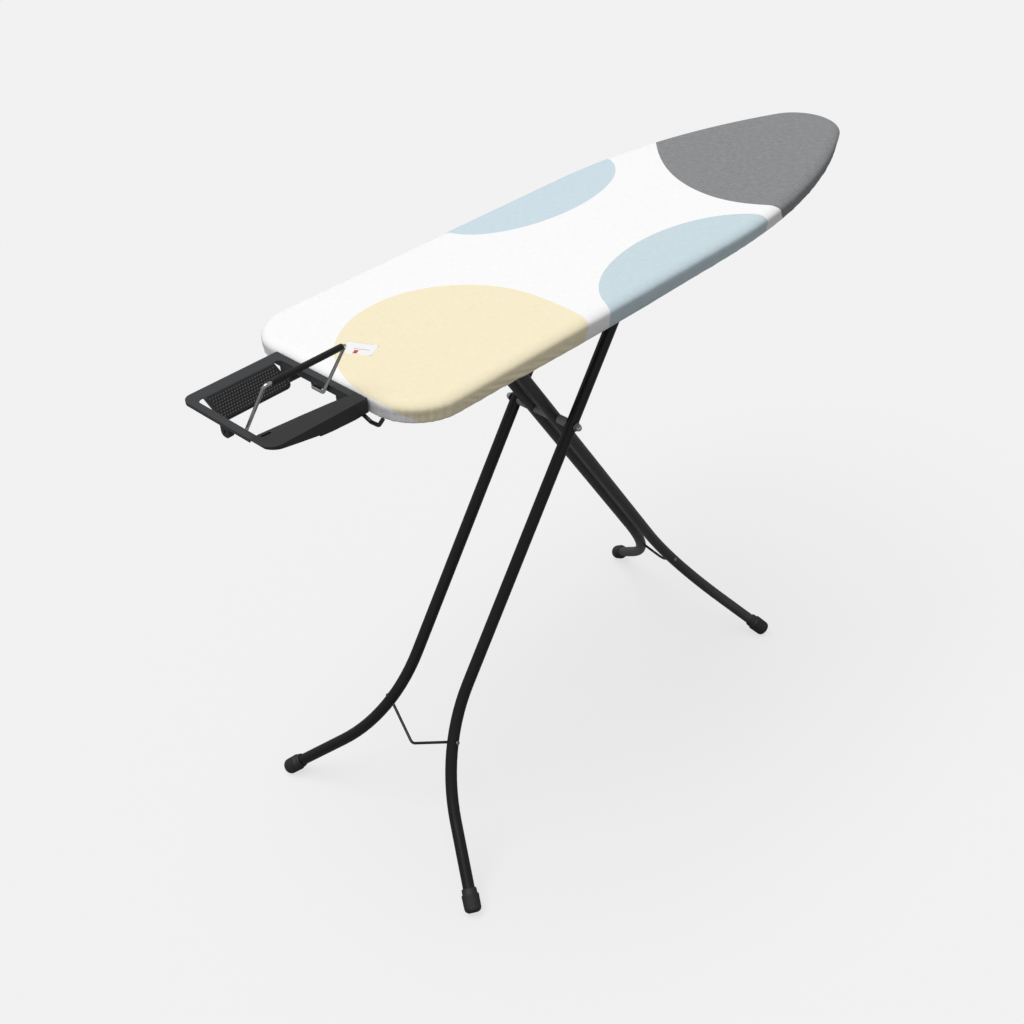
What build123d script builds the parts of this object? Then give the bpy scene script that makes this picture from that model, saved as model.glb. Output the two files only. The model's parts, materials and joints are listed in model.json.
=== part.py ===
from build123d import *
from math import asin, atan2, cos, degrees, hypot, radians, sin, sqrt
import os

# Ironing board with a folding iron rest, standing on two crossed pairs of tube legs.
# It is drawn in a working frame: +X runs from the iron rest to the nose, +Y is the left side,
# +Z is up, the floor is Z = 0 and the covered board's square end is X = 0. Millimetres.
# save_nodes moves everything along X, so that the written origin is the middle of its footprint.

# ---- driving dimensions: covered board
BOARD_LENGTH = 1248.0
BOARD_WIDTH = 388.0
TOP_Z = 979.0
SKIRT_Z = 946.0
REAR_CORNER = 80.0
NOSE_RADIUS = 82.0
TAPER_START = 700.0
EDGE_ROUND = 8.0
CLOTH = 1.5
HEM_WIDTH = 26.0
FOAM = 7.0
FELT = 3.0
DECK_INSET = 4.0
DECK_SHEET = 1.0
RIM_WIDTH = 12.0
RIM_HEIGHT = 18.0
RIM_WALL = 1.2
STEAM_HOLE_R = 9.5
HOLE_PITCH = 30.0
HOLE_LAND = 4.0
LABEL_PLACE = (74.0, 5.0)
LABEL_SIZE = (32.0, 50.0)
LABEL_TURN = 27.0
LABEL_THICK = 0.4

# ---- driving dimensions: legs
TUBE_R = 10.5
TUBE_WALL = 1.4
HINGE_X = 284.0
HINGE_Z = 945.0
INNER_UPPER = 305.0
OUTER_UPPER = 312.0
INNER_ANGLE = 56.85
FOLDED_ANGLE = 2.0
INNER_Y = 25.0
OUTER_Y = 64.5
BEND_START = 491.0
BEND_RADIUS = 340.0
INNER_SPLAY = 44.0
OUTER_SPLAY = 41.5
TUBE_TOP = 9.0
FOOT_R = 15.0
FOOT_ROUND = 9.0
FOOT_LENGTH = 42.0
FOOT_SOLE = 6.0
BRACE_S = 596.0
BRACE_DROP = 47.0
BRACE_WIRE_R = 2.5
AXLE_R = 4.0
HINGE_PIN_R = 5.0
CROSSBAR_R = 7.0
CROSSBAR_WALL = 1.5
ROLLER_R = 11.0
RUNNING = 0.05
GAP = 0.4

# ---- driving dimensions: underside of the deck
STRAP_X = (120.0, 284.0, 612.0, 765.0, 930.0)
FIRST_RAIL_STRAP = 2
STRAP_WIDTH = 30.0
STRAP_Z = 960.0
STRAP_SHEET = 1.2
RAIL_X = (604.0, 955.0)
RAIL_Y = (82.0, 102.0)
RAIL_HEIGHT = 30.0
SHEET = 2.0
SCREW_R = 2.5
SCREW_HEAD = 2.5
BRACKET_SHEET = 3.0
LEVER_Y = -128.0
LEVER_Z = 930.0
COMB_CLEAR = 2.0
COMB_STEP = 8
GRIP_LENGTH = 90.0

# ---- driving dimensions: iron rest
REST_X = (-174.0, -4.0)
REST_Y = 99.0
REST_Z = 975.0
BAR = 12.0
REAR_BAR_HEIGHT = 12.0
TONGUE_TOP_Y = 78.0
TONGUE_LOW = (38.0, 951.0)
ARM_Y = {"left": 72.0, "right": -52.0}
ARM_WIDTH = 18.0
ARM_SHEET = 4.0
BAIL_PIVOT = (4.0, 960.0)
BAIL_FOOT = 25.0
BAIL_LEG = 120.0
BAIL_LEAN = 33.0
BAIL_X = (-157.0, -19.5)
BAIL_R = 2.6
SLEEVE_R = 4.7
HOOK_ROUTE = [(-78, 951), (-94, 947), (-108, 942), (-124, 943), (-134, 957)]
HOOK_WIRE_R = 3.0
BEAM_PLAN = [(-174, -99), (-4, -99), (-4, -74), (-18, -74), (-46, -69), (-94, -63), (-158, -56), (-174, -56)]
BEAM_SIDE = [
    (-174, 975), (-4, 975), (-4, 952), (-28, 951), (-69, 953), (-90, 955.2), (-90, 957.2), (-127, 963.4), (-172, 971.5)
]
BEAM_CORNER = 22.0

# ---- worked out from the driving dimensions
HALF = BOARD_WIDTH / 2
NOSE_RUN = BOARD_LENGTH - NOSE_RADIUS - TAPER_START
SIDE_RADIUS = (NOSE_RUN**2 + HALF**2 - NOSE_RADIUS**2) / (2 * (HALF - NOSE_RADIUS))
JOIN_ANGLE = degrees(atan2(SIDE_RADIUS - HALF, NOSE_RUN))
PAD_TOP = TOP_Z - CLOTH
DECK_Z = PAD_TOP - FOAM - FELT
DROP = INNER_UPPER * sin(radians(INNER_ANGLE))
PIVOT = Vector(HINGE_X + INNER_UPPER * cos(radians(INNER_ANGLE)), 0, HINGE_Z - DROP)
OUTER_ANGLE = degrees(asin(DROP / OUTER_UPPER))
CROSSBAR_X = PIVOT.X + OUTER_UPPER * cos(radians(OUTER_ANGLE))
BRACKET_Y = (INNER_Y + TUBE_R + BRACKET_SHEET, INNER_Y + TUBE_R + 2 * BRACKET_SHEET)
CENTRE_X = (REST_X[0] + BOARD_LENGTH) / 2
LEFT, RIGHT = 1, -1
SIDES = {"left": LEFT, "right": RIGHT}
MIN_Z = (Align.CENTER, Align.CENTER, Align.MIN)

nodes = {}


# ---- helpers
def block(x, y, z):
    """Box between low and high corners given as ranges."""
    size = (x[1] - x[0], y[1] - y[0], z[1] - z[0])
    centre = ((x[0] + x[1]) / 2, (y[0] + y[1]) / 2, (z[0] + z[1]) / 2)
    return Pos(*centre) * Box(*size)


def rod_y(x, z, radius, y0, y1):
    """Round bar along Y between y0 and y1."""
    return Pos(x, (y0 + y1) / 2, z) * Rot(90, 0, 0) * Cylinder(radius, abs(y1 - y0))


def rod_x(y, z, radius, x0, x1):
    """Round bar along X between x0 and x1."""
    return Pos((x0 + x1) / 2, y, z) * Rot(0, 90, 0) * Cylinder(radius, abs(x1 - x0))


def rod_z(x, y, radius, z0, z1):
    """Round bar along Z between z0 and z1."""
    return Pos(x, y, (z0 + z1) / 2) * Cylinder(radius, abs(z1 - z0))


def swept(path, radius):
    """Round bar along a path."""
    start = Plane(origin=path @ 0, z_dir=path % 0)
    return sweep(start * Circle(radius), path=path)


def outline_edges(inset):
    """Board plan, moved inwards by inset: square end, straight sides, long side arcs and a round nose."""
    straight = HALF - REAR_CORNER
    corner = REAR_CORNER - inset
    side = SIDE_RADIUS - inset
    sweep_angle = 90 - JOIN_ANGLE
    return [
        Line((inset, -straight), (inset, straight)),
        CenterArc((REAR_CORNER, straight), corner, 90, 90),
        Line((REAR_CORNER, HALF - inset), (TAPER_START, HALF - inset)),
        CenterArc((TAPER_START, HALF - SIDE_RADIUS), side, JOIN_ANGLE, sweep_angle),
        CenterArc((BOARD_LENGTH - NOSE_RADIUS, 0), NOSE_RADIUS - inset, -JOIN_ANGLE, 2 * JOIN_ANGLE),
        CenterArc((TAPER_START, SIDE_RADIUS - HALF), side, -90, sweep_angle),
        Line((TAPER_START, inset - HALF), (REAR_CORNER, inset - HALF)),
        CenterArc((REAR_CORNER, -straight), corner, 180, 90),
    ]


def outline_wire(inset):
    return Wire(outline_edges(inset))


def slab(inset, z0, z1):
    """Flat plate with the board's plan between two heights."""
    return Pos(0, 0, z0) * extrude(Face(outline_wire(inset)), amount=z1 - z0, dir=(0, 0, 1))


def half_width(x, inset):
    """Half the board's width at a distance x from the square end."""
    if x <= TAPER_START:
        return HALF - inset
    return HALF - SIDE_RADIUS + sqrt((SIDE_RADIUS - inset) ** 2 - (x - TAPER_START) ** 2)


def rounded_slab(inset, z0, z1, radius):
    """Board-shaped slab with its upper edge rounded."""
    body = slab(inset, z0, z1)
    return fillet(body.edges().group_by(Axis.Z)[-1], radius)


# ---- board top
def make_label():
    """Woven label let into the cover's cloth, its face level with the top."""
    label = fillet(Box(*LABEL_SIZE, LABEL_THICK).edges().filter_by(Axis.Z), 2)
    return Pos(*LABEL_PLACE, TOP_Z - LABEL_THICK / 2) * Rot(0, 0, LABEL_TURN) * label


def make_cover():
    """Fitted cloth cover: top, skirt and a hem turned in under the rim."""
    outside = rounded_slab(0, SKIRT_Z, TOP_Z, EDGE_ROUND)
    inside = rounded_slab(CLOTH, SKIRT_Z + CLOTH, PAD_TOP, EDGE_ROUND - CLOTH)
    return outside - inside - slab(HEM_WIDTH, SKIRT_Z - 1, SKIRT_Z + CLOTH + 1) - make_label()


def fits_in_deck(x, y, inset):
    """Whether a steam hole at x, y leaves a band of sheet between itself and the deck's edge."""
    room = inset + STEAM_HOLE_R + HOLE_LAND
    past_nose = x - (BOARD_LENGTH - NOSE_RADIUS)
    if past_nose > 0:
        return hypot(past_nose, y) < NOSE_RADIUS - room
    corner_x = REAR_CORNER - x
    corner_y = abs(y) - (HALF - REAR_CORNER)
    if min(corner_x, corner_y) > 0 and hypot(corner_x, corner_y) > REAR_CORNER - room:
        return False
    return abs(y) < half_width(x + STEAM_HOLE_R, inset) - STEAM_HOLE_R - HOLE_LAND


def make_deck():
    """Sheet-steel deck with staggered steam holes."""
    inset = DECK_INSET + RIM_WIDTH
    holes = []
    row_step = HOLE_PITCH * sqrt(3) / 2
    rows = int((HALF - inset - STEAM_HOLE_R) / row_step)
    columns = int((BOARD_LENGTH - 2 * inset) / HOLE_PITCH)
    for row in range(-rows, rows + 1):
        for column in range(columns + 1):
            x = inset + 2 * STEAM_HOLE_R + (column + (row % 2) / 2) * HOLE_PITCH
            y = row * row_step
            if fits_in_deck(x, y, inset):
                holes.append(Wire(Edge.make_circle(STEAM_HOLE_R).moved(Location((x, y, 0)))))
    sheet = extrude(Face(outline_wire(inset), holes), amount=DECK_SHEET, dir=(0, 0, 1))
    return Pos(0, 0, DECK_Z - DECK_SHEET) * sheet


def make_board_top():
    nodes["cover"] = make_cover()
    nodes["foam_pad"] = rounded_slab(CLOTH + RUNNING, DECK_Z + FELT, PAD_TOP - RUNNING, EDGE_ROUND - CLOTH)
    nodes["felt_underlay"] = slab(2 * CLOTH, DECK_Z, DECK_Z + FELT)
    nodes["deck_mesh"] = make_deck()
    rim_low = DECK_Z - RIM_HEIGHT
    inner_edge = DECK_INSET + RIM_WIDTH
    channel = slab(DECK_INSET, rim_low, DECK_Z) - slab(inner_edge, rim_low - 1, DECK_Z + 1)
    groove = slab(DECK_INSET + RIM_WALL, rim_low - 1, DECK_Z - RIM_WALL)
    groove -= slab(inner_edge - RIM_WALL, rim_low - 2, DECK_Z)
    nodes["rim"] = channel - groove
    elastic_z = SKIRT_Z + CLOTH + RUNNING
    elastic = slab(HEM_WIDTH - 4, elastic_z, elastic_z + 2.5)
    nodes["hem_elastic"] = elastic - slab(HEM_WIDTH, elastic_z - 1, elastic_z + 4)
    nodes["care_label"] = make_label()


# ---- underside: straps, rails, hinge brackets
def rail_screw_places():
    y = (RAIL_Y[0] + RAIL_Y[1]) / 2
    return [(x, side * y) for x in STRAP_X[FIRST_RAIL_STRAP:] for side in (LEFT, RIGHT)]


def rest_screw_places():
    return [(STRAP_X[0], y) for y in ARM_Y.values()]


def drilled(body, places, z0, z1):
    """Body with screw holes at the given places."""
    for x, y in places:
        body -= rod_z(x, y, SCREW_R + RUNNING, z0, z1)
    return body


def make_screw(x, y, head_z):
    """Pan-head screw driven upwards into a strap."""
    head = rod_z(x, y, 2 * SCREW_R, head_z - SCREW_HEAD, head_z)
    head = fillet(head.edges().group_by(Axis.Z)[0], 1.5)
    slot = block((x - 4, x + 4), (y - 0.6, y + 0.6), (head_z - SCREW_HEAD - 0.5, head_z - 1.5))
    return head - slot + rod_z(x, y, SCREW_R, head_z, DECK_Z - DECK_SHEET - 0.5)


def make_straps():
    """Folded cross straps between the long sides of the rim, open to the deck above them."""
    names = ("strap_rear", "strap_hinge", "strap_rail_rear", "strap_rail_mid", "strap_rail_nose")
    screws = rail_screw_places() + rest_screw_places()
    for name, x in zip(names, STRAP_X):
        x1 = x + STRAP_WIDTH / 2
        y = half_width(x1, DECK_INSET + RIM_WIDTH) - RUNNING
        top = DECK_Z - DECK_SHEET - RUNNING
        strap = block((x1 - STRAP_WIDTH, x1), (-y, y), (STRAP_Z, top))
        trough_x = (x1 - STRAP_WIDTH + STRAP_SHEET, x1 - STRAP_SHEET)
        strap -= block(trough_x, (-y - 1, y + 1), (STRAP_Z + STRAP_SHEET, top + 1))
        near = [place for place in screws if abs(place[0] - x) < 1]
        nodes[name] = drilled(strap, near, STRAP_Z - 1, STRAP_Z + STRAP_SHEET + 1)


def make_rails():
    """Channels that the crossbar's rollers run in; the right one is slotted for the latch end."""
    low = STRAP_Z - RAIL_HEIGHT
    latch_half = CROSSBAR_R + 2.5
    for name, side in SIDES.items():
        y = sorted((side * RAIL_Y[0], side * RAIL_Y[1]))
        inner = sorted((side * (RAIL_Y[0] - 1), side * (RAIL_Y[1] - SHEET)))
        rail = block(RAIL_X, y, (low, STRAP_Z))
        rail -= block((RAIL_X[0] - 1, RAIL_X[1] + 1), inner, (low + SHEET, STRAP_Z - SHEET))
        if side == RIGHT:
            slot_x = (CROSSBAR_X - CROSSBAR_R - 4, RAIL_X[1] - 38)
            slot = block(slot_x, (y[0] - 1, y[0] + SHEET + 1), (HINGE_Z - latch_half, HINGE_Z + latch_half))
            rail -= fillet(slot.edges().filter_by(Axis.Y), latch_half - 0.5)
        places = [place for place in rail_screw_places() if place[1] * side > 0]
        nodes[f"rail_{name}"] = drilled(rail, places, STRAP_Z - SHEET - 1, STRAP_Z + 1)
    heads = [make_screw(x, y, STRAP_Z - SHEET) for x, y in rail_screw_places()]
    nodes["rail_screws"] = Compound(heads)


def make_hinge():
    """Two upright brackets and the pin that the inner legs swing on."""
    for name, side in SIDES.items():
        y = sorted((side * BRACKET_Y[0], side * BRACKET_Y[1]))
        foot = sorted((side * BRACKET_Y[1], side * (BRACKET_Y[1] + 16)))
        plate = block((HINGE_X - 15, HINGE_X + 15), y, (HINGE_Z - 13, STRAP_Z))
        plate = fillet(plate.edges().filter_by(Axis.Y).group_by(Axis.Z)[0], 12)
        flange = block((HINGE_X - 15, HINGE_X + 15), foot, (STRAP_Z - BRACKET_SHEET, STRAP_Z))
        hole = rod_y(HINGE_X, HINGE_Z, HINGE_PIN_R + RUNNING, y[0] - 1, y[1] + 1)
        nodes[f"hinge_bracket_{name}"] = plate + flange - hole
    end = BRACKET_Y[1] + 4
    pin = rod_y(HINGE_X, HINGE_Z, HINGE_PIN_R, -end, end)
    head = rod_y(HINGE_X, HINGE_Z, HINGE_PIN_R + 3, BRACKET_Y[1] + RUNNING, end)
    nodes["hinge_pin"] = pin + head
    clip = rod_y(HINGE_X, HINGE_Z, HINGE_PIN_R + 3, -end + 1, -BRACKET_Y[1] - RUNNING)
    nodes["hinge_pin_clip"] = clip - rod_y(HINGE_X, HINGE_Z, HINGE_PIN_R + RUNNING, -end, 0)


# ---- legs
def leg_plane(angle, direction):
    """Plane of a leg pair: local x down the leg from the axle, local y along world Y."""
    down = Vector(direction * cos(radians(angle)), 0, -sin(radians(angle)))
    return Plane(origin=PIVOT, x_dir=down, z_dir=down.cross(Vector(0, 1, 0)))


def splay(angle):
    """How far the tubes of a pair turn outwards, by the pair's lean."""
    return INNER_SPLAY if angle == INNER_ANGLE else OUTER_SPLAY


def foot_end(angle):
    """Local x of a foot's end, so that the rubber foot stands on the floor."""
    slope = cos(radians(splay(angle))) * sin(radians(angle))
    height = (FOOT_R - FOOT_ROUND) * sqrt(1 - slope**2) + FOOT_ROUND * (1 - slope)
    return (PIVOT.Z - height) / sin(radians(angle))


def leg_points(side, spread, upper, angle):
    """Top end, start and end of the bend, and end of the foot, in the leg's plane."""
    turn = radians(splay(angle))
    bend_x = BEND_START + BEND_RADIUS * sin(turn)
    bend_y = spread + BEND_RADIUS * (1 - cos(turn))
    run = (foot_end(angle) - bend_x) / cos(turn)
    end = (bend_x + run * cos(turn), side * (bend_y + run * sin(turn)))
    return (-upper - TUBE_TOP, side * spread), (BEND_START, side * spread), (bend_x, side * bend_y), end


def leg_path(side, spread, upper, angle, short):
    """Centre line of a leg tube, stopping short of the foot's end."""
    top, bend, bend_end, end = leg_points(side, spread, upper, angle)
    arc_start = 270 if side == LEFT else 90
    arc_centre = (BEND_START, side * (spread + BEND_RADIUS))
    arc = CenterArc(arc_centre, BEND_RADIUS, arc_start, side * splay(angle))
    turn = radians(splay(angle))
    tip = (end[0] - short * cos(turn), end[1] - side * short * sin(turn))
    return Wire([Line(top, bend), arc, Line(bend_end, tip)])


def leg_tube(plane, side, spread, upper, angle):
    """Bent steel tube, hollow, drilled for the axle."""
    path = leg_path(side, spread, upper, angle, FOOT_SOLE)
    start = Plane(origin=path @ 0, z_dir=path % 0)
    ring = start * (Circle(TUBE_R) - Circle(TUBE_R - TUBE_WALL))
    return plane * sweep(ring, path=path)


def foot_cap(plane, side, spread, upper, angle):
    """Rubber foot: a collar, a ribbed barrel and a rounded sole, pushed over the tube's end."""
    end = leg_points(side, spread, upper, angle)[3]
    turn = radians(splay(angle))
    axis = Vector(cos(turn), side * sin(turn), 0)
    local = Plane(origin=(end[0], end[1], 0), z_dir=axis * -1)
    barrel = Cylinder(FOOT_R, FOOT_LENGTH - 9, align=MIN_Z)
    barrel = fillet(barrel.edges().group_by(Axis.Z)[0], FOOT_ROUND)
    barrel = fillet(barrel.edges().group_by(Axis.Z)[-1], 1.5)
    collar = Pos(0, 0, FOOT_ROUND) * Cylinder(TUBE_R + 2.2, FOOT_LENGTH - FOOT_ROUND, align=MIN_Z)
    collar = fillet(collar.edges().group_by(Axis.Z)[-1], 1.0)
    bore = Pos(0, 0, FOOT_SOLE) * Cylinder(TUBE_R + 0.02, 60, align=MIN_Z)
    return plane * (local * (barrel + collar - bore))


def top_plug(plane, side, spread, upper):
    """Disc that closes the top end of a leg tube."""
    local = Plane(origin=(-upper - TUBE_TOP, side * spread, 0), z_dir=(1, 0, 0))
    disc = Cylinder(TUBE_R - TUBE_WALL - RUNNING, 3, align=MIN_Z)
    return plane * (local * disc)


def tube_core(plane, side, spread, radius):
    """Straight bar along the upper part of a leg, used to cut saddles."""
    local = Plane(origin=(-60, side * spread, 0), z_dir=(1, 0, 0))
    return plane * (local * Cylinder(radius, 120, align=MIN_Z))


def brace_wire(plane, spread):
    """V-shaped wire between the two tubes of a pair, its ends butted on the tubes."""
    reach = brace_y(spread)
    points = [(BRACE_S, reach), (BRACE_S + BRACE_DROP, 0), (BRACE_S, -reach)]
    path = FilletPolyline(*points, radius=12)
    wire = swept(path, BRACE_WIRE_R)
    for side in (LEFT, RIGHT):
        arc_start = 270 if side == LEFT else 90
        bend = CenterArc((BEND_START, side * (spread + BEND_RADIUS)), BEND_RADIUS, arc_start, side * 30)
        wire -= swept(bend, TUBE_R)
    return plane * wire


def brace_y(spread):
    """Half the distance between the tubes' centre lines where the brace ends."""
    return spread + BEND_RADIUS - sqrt(BEND_RADIUS**2 - (BRACE_S - BEND_START) ** 2)


def brace_rivets(plane, spread):
    """Domed rivet heads on the outer sides of the tubes, opposite the brace's ends."""
    turn = asin((BRACE_S - BEND_START) / BEND_RADIUS)
    heads = []
    for side in (LEFT, RIGHT):
        out = Vector(-sin(turn), side * cos(turn), 0)
        base = Vector(BRACE_S, side * brace_y(spread), 0) + out * (TUBE_R + 0.1)
        local = Plane(origin=base, z_dir=out)
        head = Cylinder(4, 2.4, align=MIN_Z)
        head = fillet(head.edges().group_by(Axis.Z)[-1], 2)
        heads.append(plane * (local * head))
    return Compound(heads)


def drill_y(body, x, z, radius):
    """Body with a hole along Y right through it."""
    return body - rod_y(x, z, radius, -150, 150)


def make_pair(prefix, plane, spread, upper, angle, top_x, top_radius, axle_hole):
    """Tubes, plugs, brace, rivets and feet of one leg pair."""
    plugs = []
    for name, side in SIDES.items():
        tube = leg_tube(plane, side, spread, upper, angle)
        tube = drill_y(tube, PIVOT.X, PIVOT.Z, axle_hole)
        nodes[f"{prefix}_tube_{name}"] = drill_y(tube, top_x, HINGE_Z, top_radius)
        nodes[f"{prefix}_foot_{name}"] = foot_cap(plane, side, spread, upper, angle)
        plug = top_plug(plane, side, spread, upper)
        plugs.append(drill_y(plug, top_x, HINGE_Z, top_radius))
    nodes[f"{prefix}_tube_plugs"] = Compound(plugs)
    nodes[f"{prefix}_brace"] = brace_wire(plane, spread)
    nodes[f"{prefix}_brace_rivets"] = brace_rivets(plane, spread)


def saddle_spacer(y0, y1, cutters, radius):
    """Moulded spacer on the axle, hollowed where it hugs a tube."""
    body = rod_y(PIVOT.X, PIVOT.Z, radius, y0, y1)
    body -= rod_y(PIVOT.X, PIVOT.Z, AXLE_R + RUNNING, y0 - 1, y1 + 1)
    for cutter in cutters:
        body -= cutter
    return body.solids().sort_by(SortBy.VOLUME)[-1]


def cap_nut(side):
    """Domed nut on the axle's end."""
    start = OUTER_Y + TUBE_R + 1.5
    local = Plane(origin=(PIVOT.X, side * start, PIVOT.Z), z_dir=(0, side, 0))
    collar = extrude(RegularPolygon(6.8, 6), amount=4.5)
    dome = Pos(0, 0, 4.5) * Sphere(5.4)
    dome &= Pos(0, 0, 4.5) * Cylinder(6, 6, align=MIN_Z)
    bore = Cylinder(AXLE_R + 0.02, 5, align=MIN_Z)
    return local * (collar + dome - bore)


def make_legs():
    inner = leg_plane(INNER_ANGLE, 1)
    outer = leg_plane(OUTER_ANGLE, -1)
    pin_hole = HINGE_PIN_R + RUNNING
    bar_hole = CROSSBAR_R + 0.02
    make_pair("inner", inner, INNER_Y, INNER_UPPER, INNER_ANGLE, HINGE_X, pin_hole, AXLE_R + RUNNING)
    make_pair("outer", outer, OUTER_Y, OUTER_UPPER, OUTER_ANGLE, CROSSBAR_X, bar_hole, AXLE_R + 0.02)

    inner_cores = [tube_core(inner, side, INNER_Y, TUBE_R + 0.02) for side in (LEFT, RIGHT)]
    nodes["spacer_centre"] = saddle_spacer(-INNER_Y + 4, INNER_Y - 4, inner_cores, 8)
    for name, side in SIDES.items():
        core = tube_core(outer, side, OUTER_Y, TUBE_R + 0.02)
        y = sorted((side * (INNER_Y + TUBE_R + GAP), side * (OUTER_Y - 4)))
        nodes[f"spacer_{name}"] = saddle_spacer(y[0], y[1], [core], 8)
        nodes[f"axle_nut_{name}"] = cap_nut(side)
    tube_side = OUTER_Y + TUBE_R
    washers = []
    for side in (LEFT, RIGHT):
        washer = rod_y(PIVOT.X, PIVOT.Z, 2 * AXLE_R, side * (tube_side + 0.02), side * (tube_side + 1.5))
        washers.append(drill_y(washer, PIVOT.X, PIVOT.Z, AXLE_R + RUNNING))
    nodes["axle_washers"] = Compound(washers)
    reach = tube_side + 5.5
    nodes["axle"] = rod_y(PIVOT.X, PIVOT.Z, AXLE_R, -reach, reach)

    far_end = RAIL_Y[1] - SHEET - 1
    crossbar = rod_y(CROSSBAR_X, HINGE_Z, CROSSBAR_R, -RAIL_Y[1] - 12, far_end)
    nodes["crossbar"] = drill_y(crossbar, CROSSBAR_X, HINGE_Z, CROSSBAR_R - CROSSBAR_WALL)
    for name, side in SIDES.items():
        y = (side * (RAIL_Y[0] + 2), side * (far_end - 1))
        roller = rod_y(CROSSBAR_X, HINGE_Z, ROLLER_R, *y)
        roller = fillet(roller.edges().filter_by(GeomType.CIRCLE), 1)
        nodes[f"roller_{name}"] = drill_y(roller, CROSSBAR_X, HINGE_Z, CROSSBAR_R + 0.02)


# ---- height lever
def crossbar_at(fold):
    """Crossbar's distance from the square end when the inner legs have folded by an angle."""
    inner = radians(INNER_ANGLE - fold)
    outer = asin(INNER_UPPER * sin(inner) / OUTER_UPPER)
    return HINGE_X + INNER_UPPER * cos(inner) + OUTER_UPPER * cos(outer)


def make_lever():
    """Latch comb under the crossbar's right end, on a shaft turned by a hand grip."""
    x0, x1 = STRAP_X[FIRST_RAIL_STRAP] - 17, STRAP_X[-1] + 17
    nodes["lever_shaft"] = rod_x(LEVER_Y, LEVER_Z, AXLE_R, x0, x1)
    comb_x = (STRAP_X[FIRST_RAIL_STRAP] + 3, STRAP_X[-1] - 6)
    web_y = (LEVER_Y + AXLE_R, -RAIL_Y[1] - 3)
    comb = block(comb_x, web_y, (LEVER_Z - 1, LEVER_Z + 1))
    teeth_top = HINGE_Z - CROSSBAR_R - COMB_CLEAR
    comb += block(comb_x, (web_y[1] - SHEET, web_y[1]), (LEVER_Z - 1, teeth_top))
    for notch in range(7):
        x = crossbar_at(notch * COMB_STEP)
        comb -= block((x - 7, x + 7), (web_y[1] - 3, web_y[1] + 1), (teeth_top - 4, teeth_top + 1))
    grip_x = (x0 + 57, x0 + 57 + GRIP_LENGTH)
    comb -= block((grip_x[0] - 1, grip_x[1] + 1), (LEVER_Y, LEVER_Y + 8.5), (LEVER_Z - 9, LEVER_Z + 9))
    nodes["height_comb"] = comb
    hub = rod_x(LEVER_Y, LEVER_Z, 7.5, *grip_x)
    paddle = block(grip_x, (-31, -5), (-2.5, 2.5))
    paddle = fillet(paddle.edges().filter_by(Axis.Z).group_by(Axis.Y)[0], 10)
    paddle = fillet(paddle.edges().group_by(Axis.Z)[0] + paddle.edges().group_by(Axis.Z)[-1], 1.5)
    grip = hub + Pos(0, LEVER_Y, LEVER_Z) * Rot(12, 0, 0) * paddle
    nodes["lever_grip"] = grip - rod_x(LEVER_Y, LEVER_Z, AXLE_R + 0.02, grip_x[0] - 1, grip_x[1] + 1)
    brackets = []
    for x in (x0 + 5, x1 - 5 - BRACKET_SHEET):
        plate = block((x, x + BRACKET_SHEET), (LEVER_Y - 12, LEVER_Y + 12), (LEVER_Z - 11, STRAP_Z))
        plate = fillet(plate.edges().filter_by(Axis.X).group_by(Axis.Z)[0], 10)
        hole = rod_x(LEVER_Y, LEVER_Z, AXLE_R + RUNNING, x - 1, x + 4)
        brackets.append(plate - hole)
    nodes["lever_brackets"] = Compound(brackets)
    coil = Helix(pitch=1.9, height=1.9 * 5, radius=5.4)
    spring = swept(coil, 0.75)
    nodes["lever_spring"] = Pos(x0 + 10, LEVER_Y, LEVER_Z) * Rot(0, 90, 0) * spring


# ---- iron rest
def prism(points, plane, amount):
    """Straight-sided solid from a closed outline on a plane."""
    return extrude(plane * make_face(Polyline(*points, close=True)), amount=amount)


def beam_plan():
    """Tall prism on the beam's plan, its outer corner rounded."""
    plan = prism(BEAM_PLAN, Plane.XY.offset(940), 60)
    corner = plan.edges().filter_by(Axis.Z).group_by(Axis.X)[0].sort_by(Axis.Y)[:1]
    return fillet(corner, BEAM_CORNER)


def make_beam():
    """Wedge-shaped moulding along the right side of the rest."""
    side = prism(BEAM_SIDE, Plane.XZ.offset(50), 60)
    beam = beam_plan() & side
    slot = Pos(-152, -64, REST_Z) * Rot(0, 0, -6) * extrude(SlotOverall(16, 4), amount=-3)
    return beam - slot


def tongue_plane():
    """Plane of the sloping tongue, local y running down the slope."""
    down = Vector(0, TONGUE_LOW[0] - TONGUE_TOP_Y, TONGUE_LOW[1] - REST_Z)
    origin = Vector((REST_X[0] + REST_X[1]) / 2, TONGUE_TOP_Y, REST_Z)
    return Plane(origin=origin, x_dir=(-1, 0, 0), z_dir=Vector(-1, 0, 0).cross(down)), down.length


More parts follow.
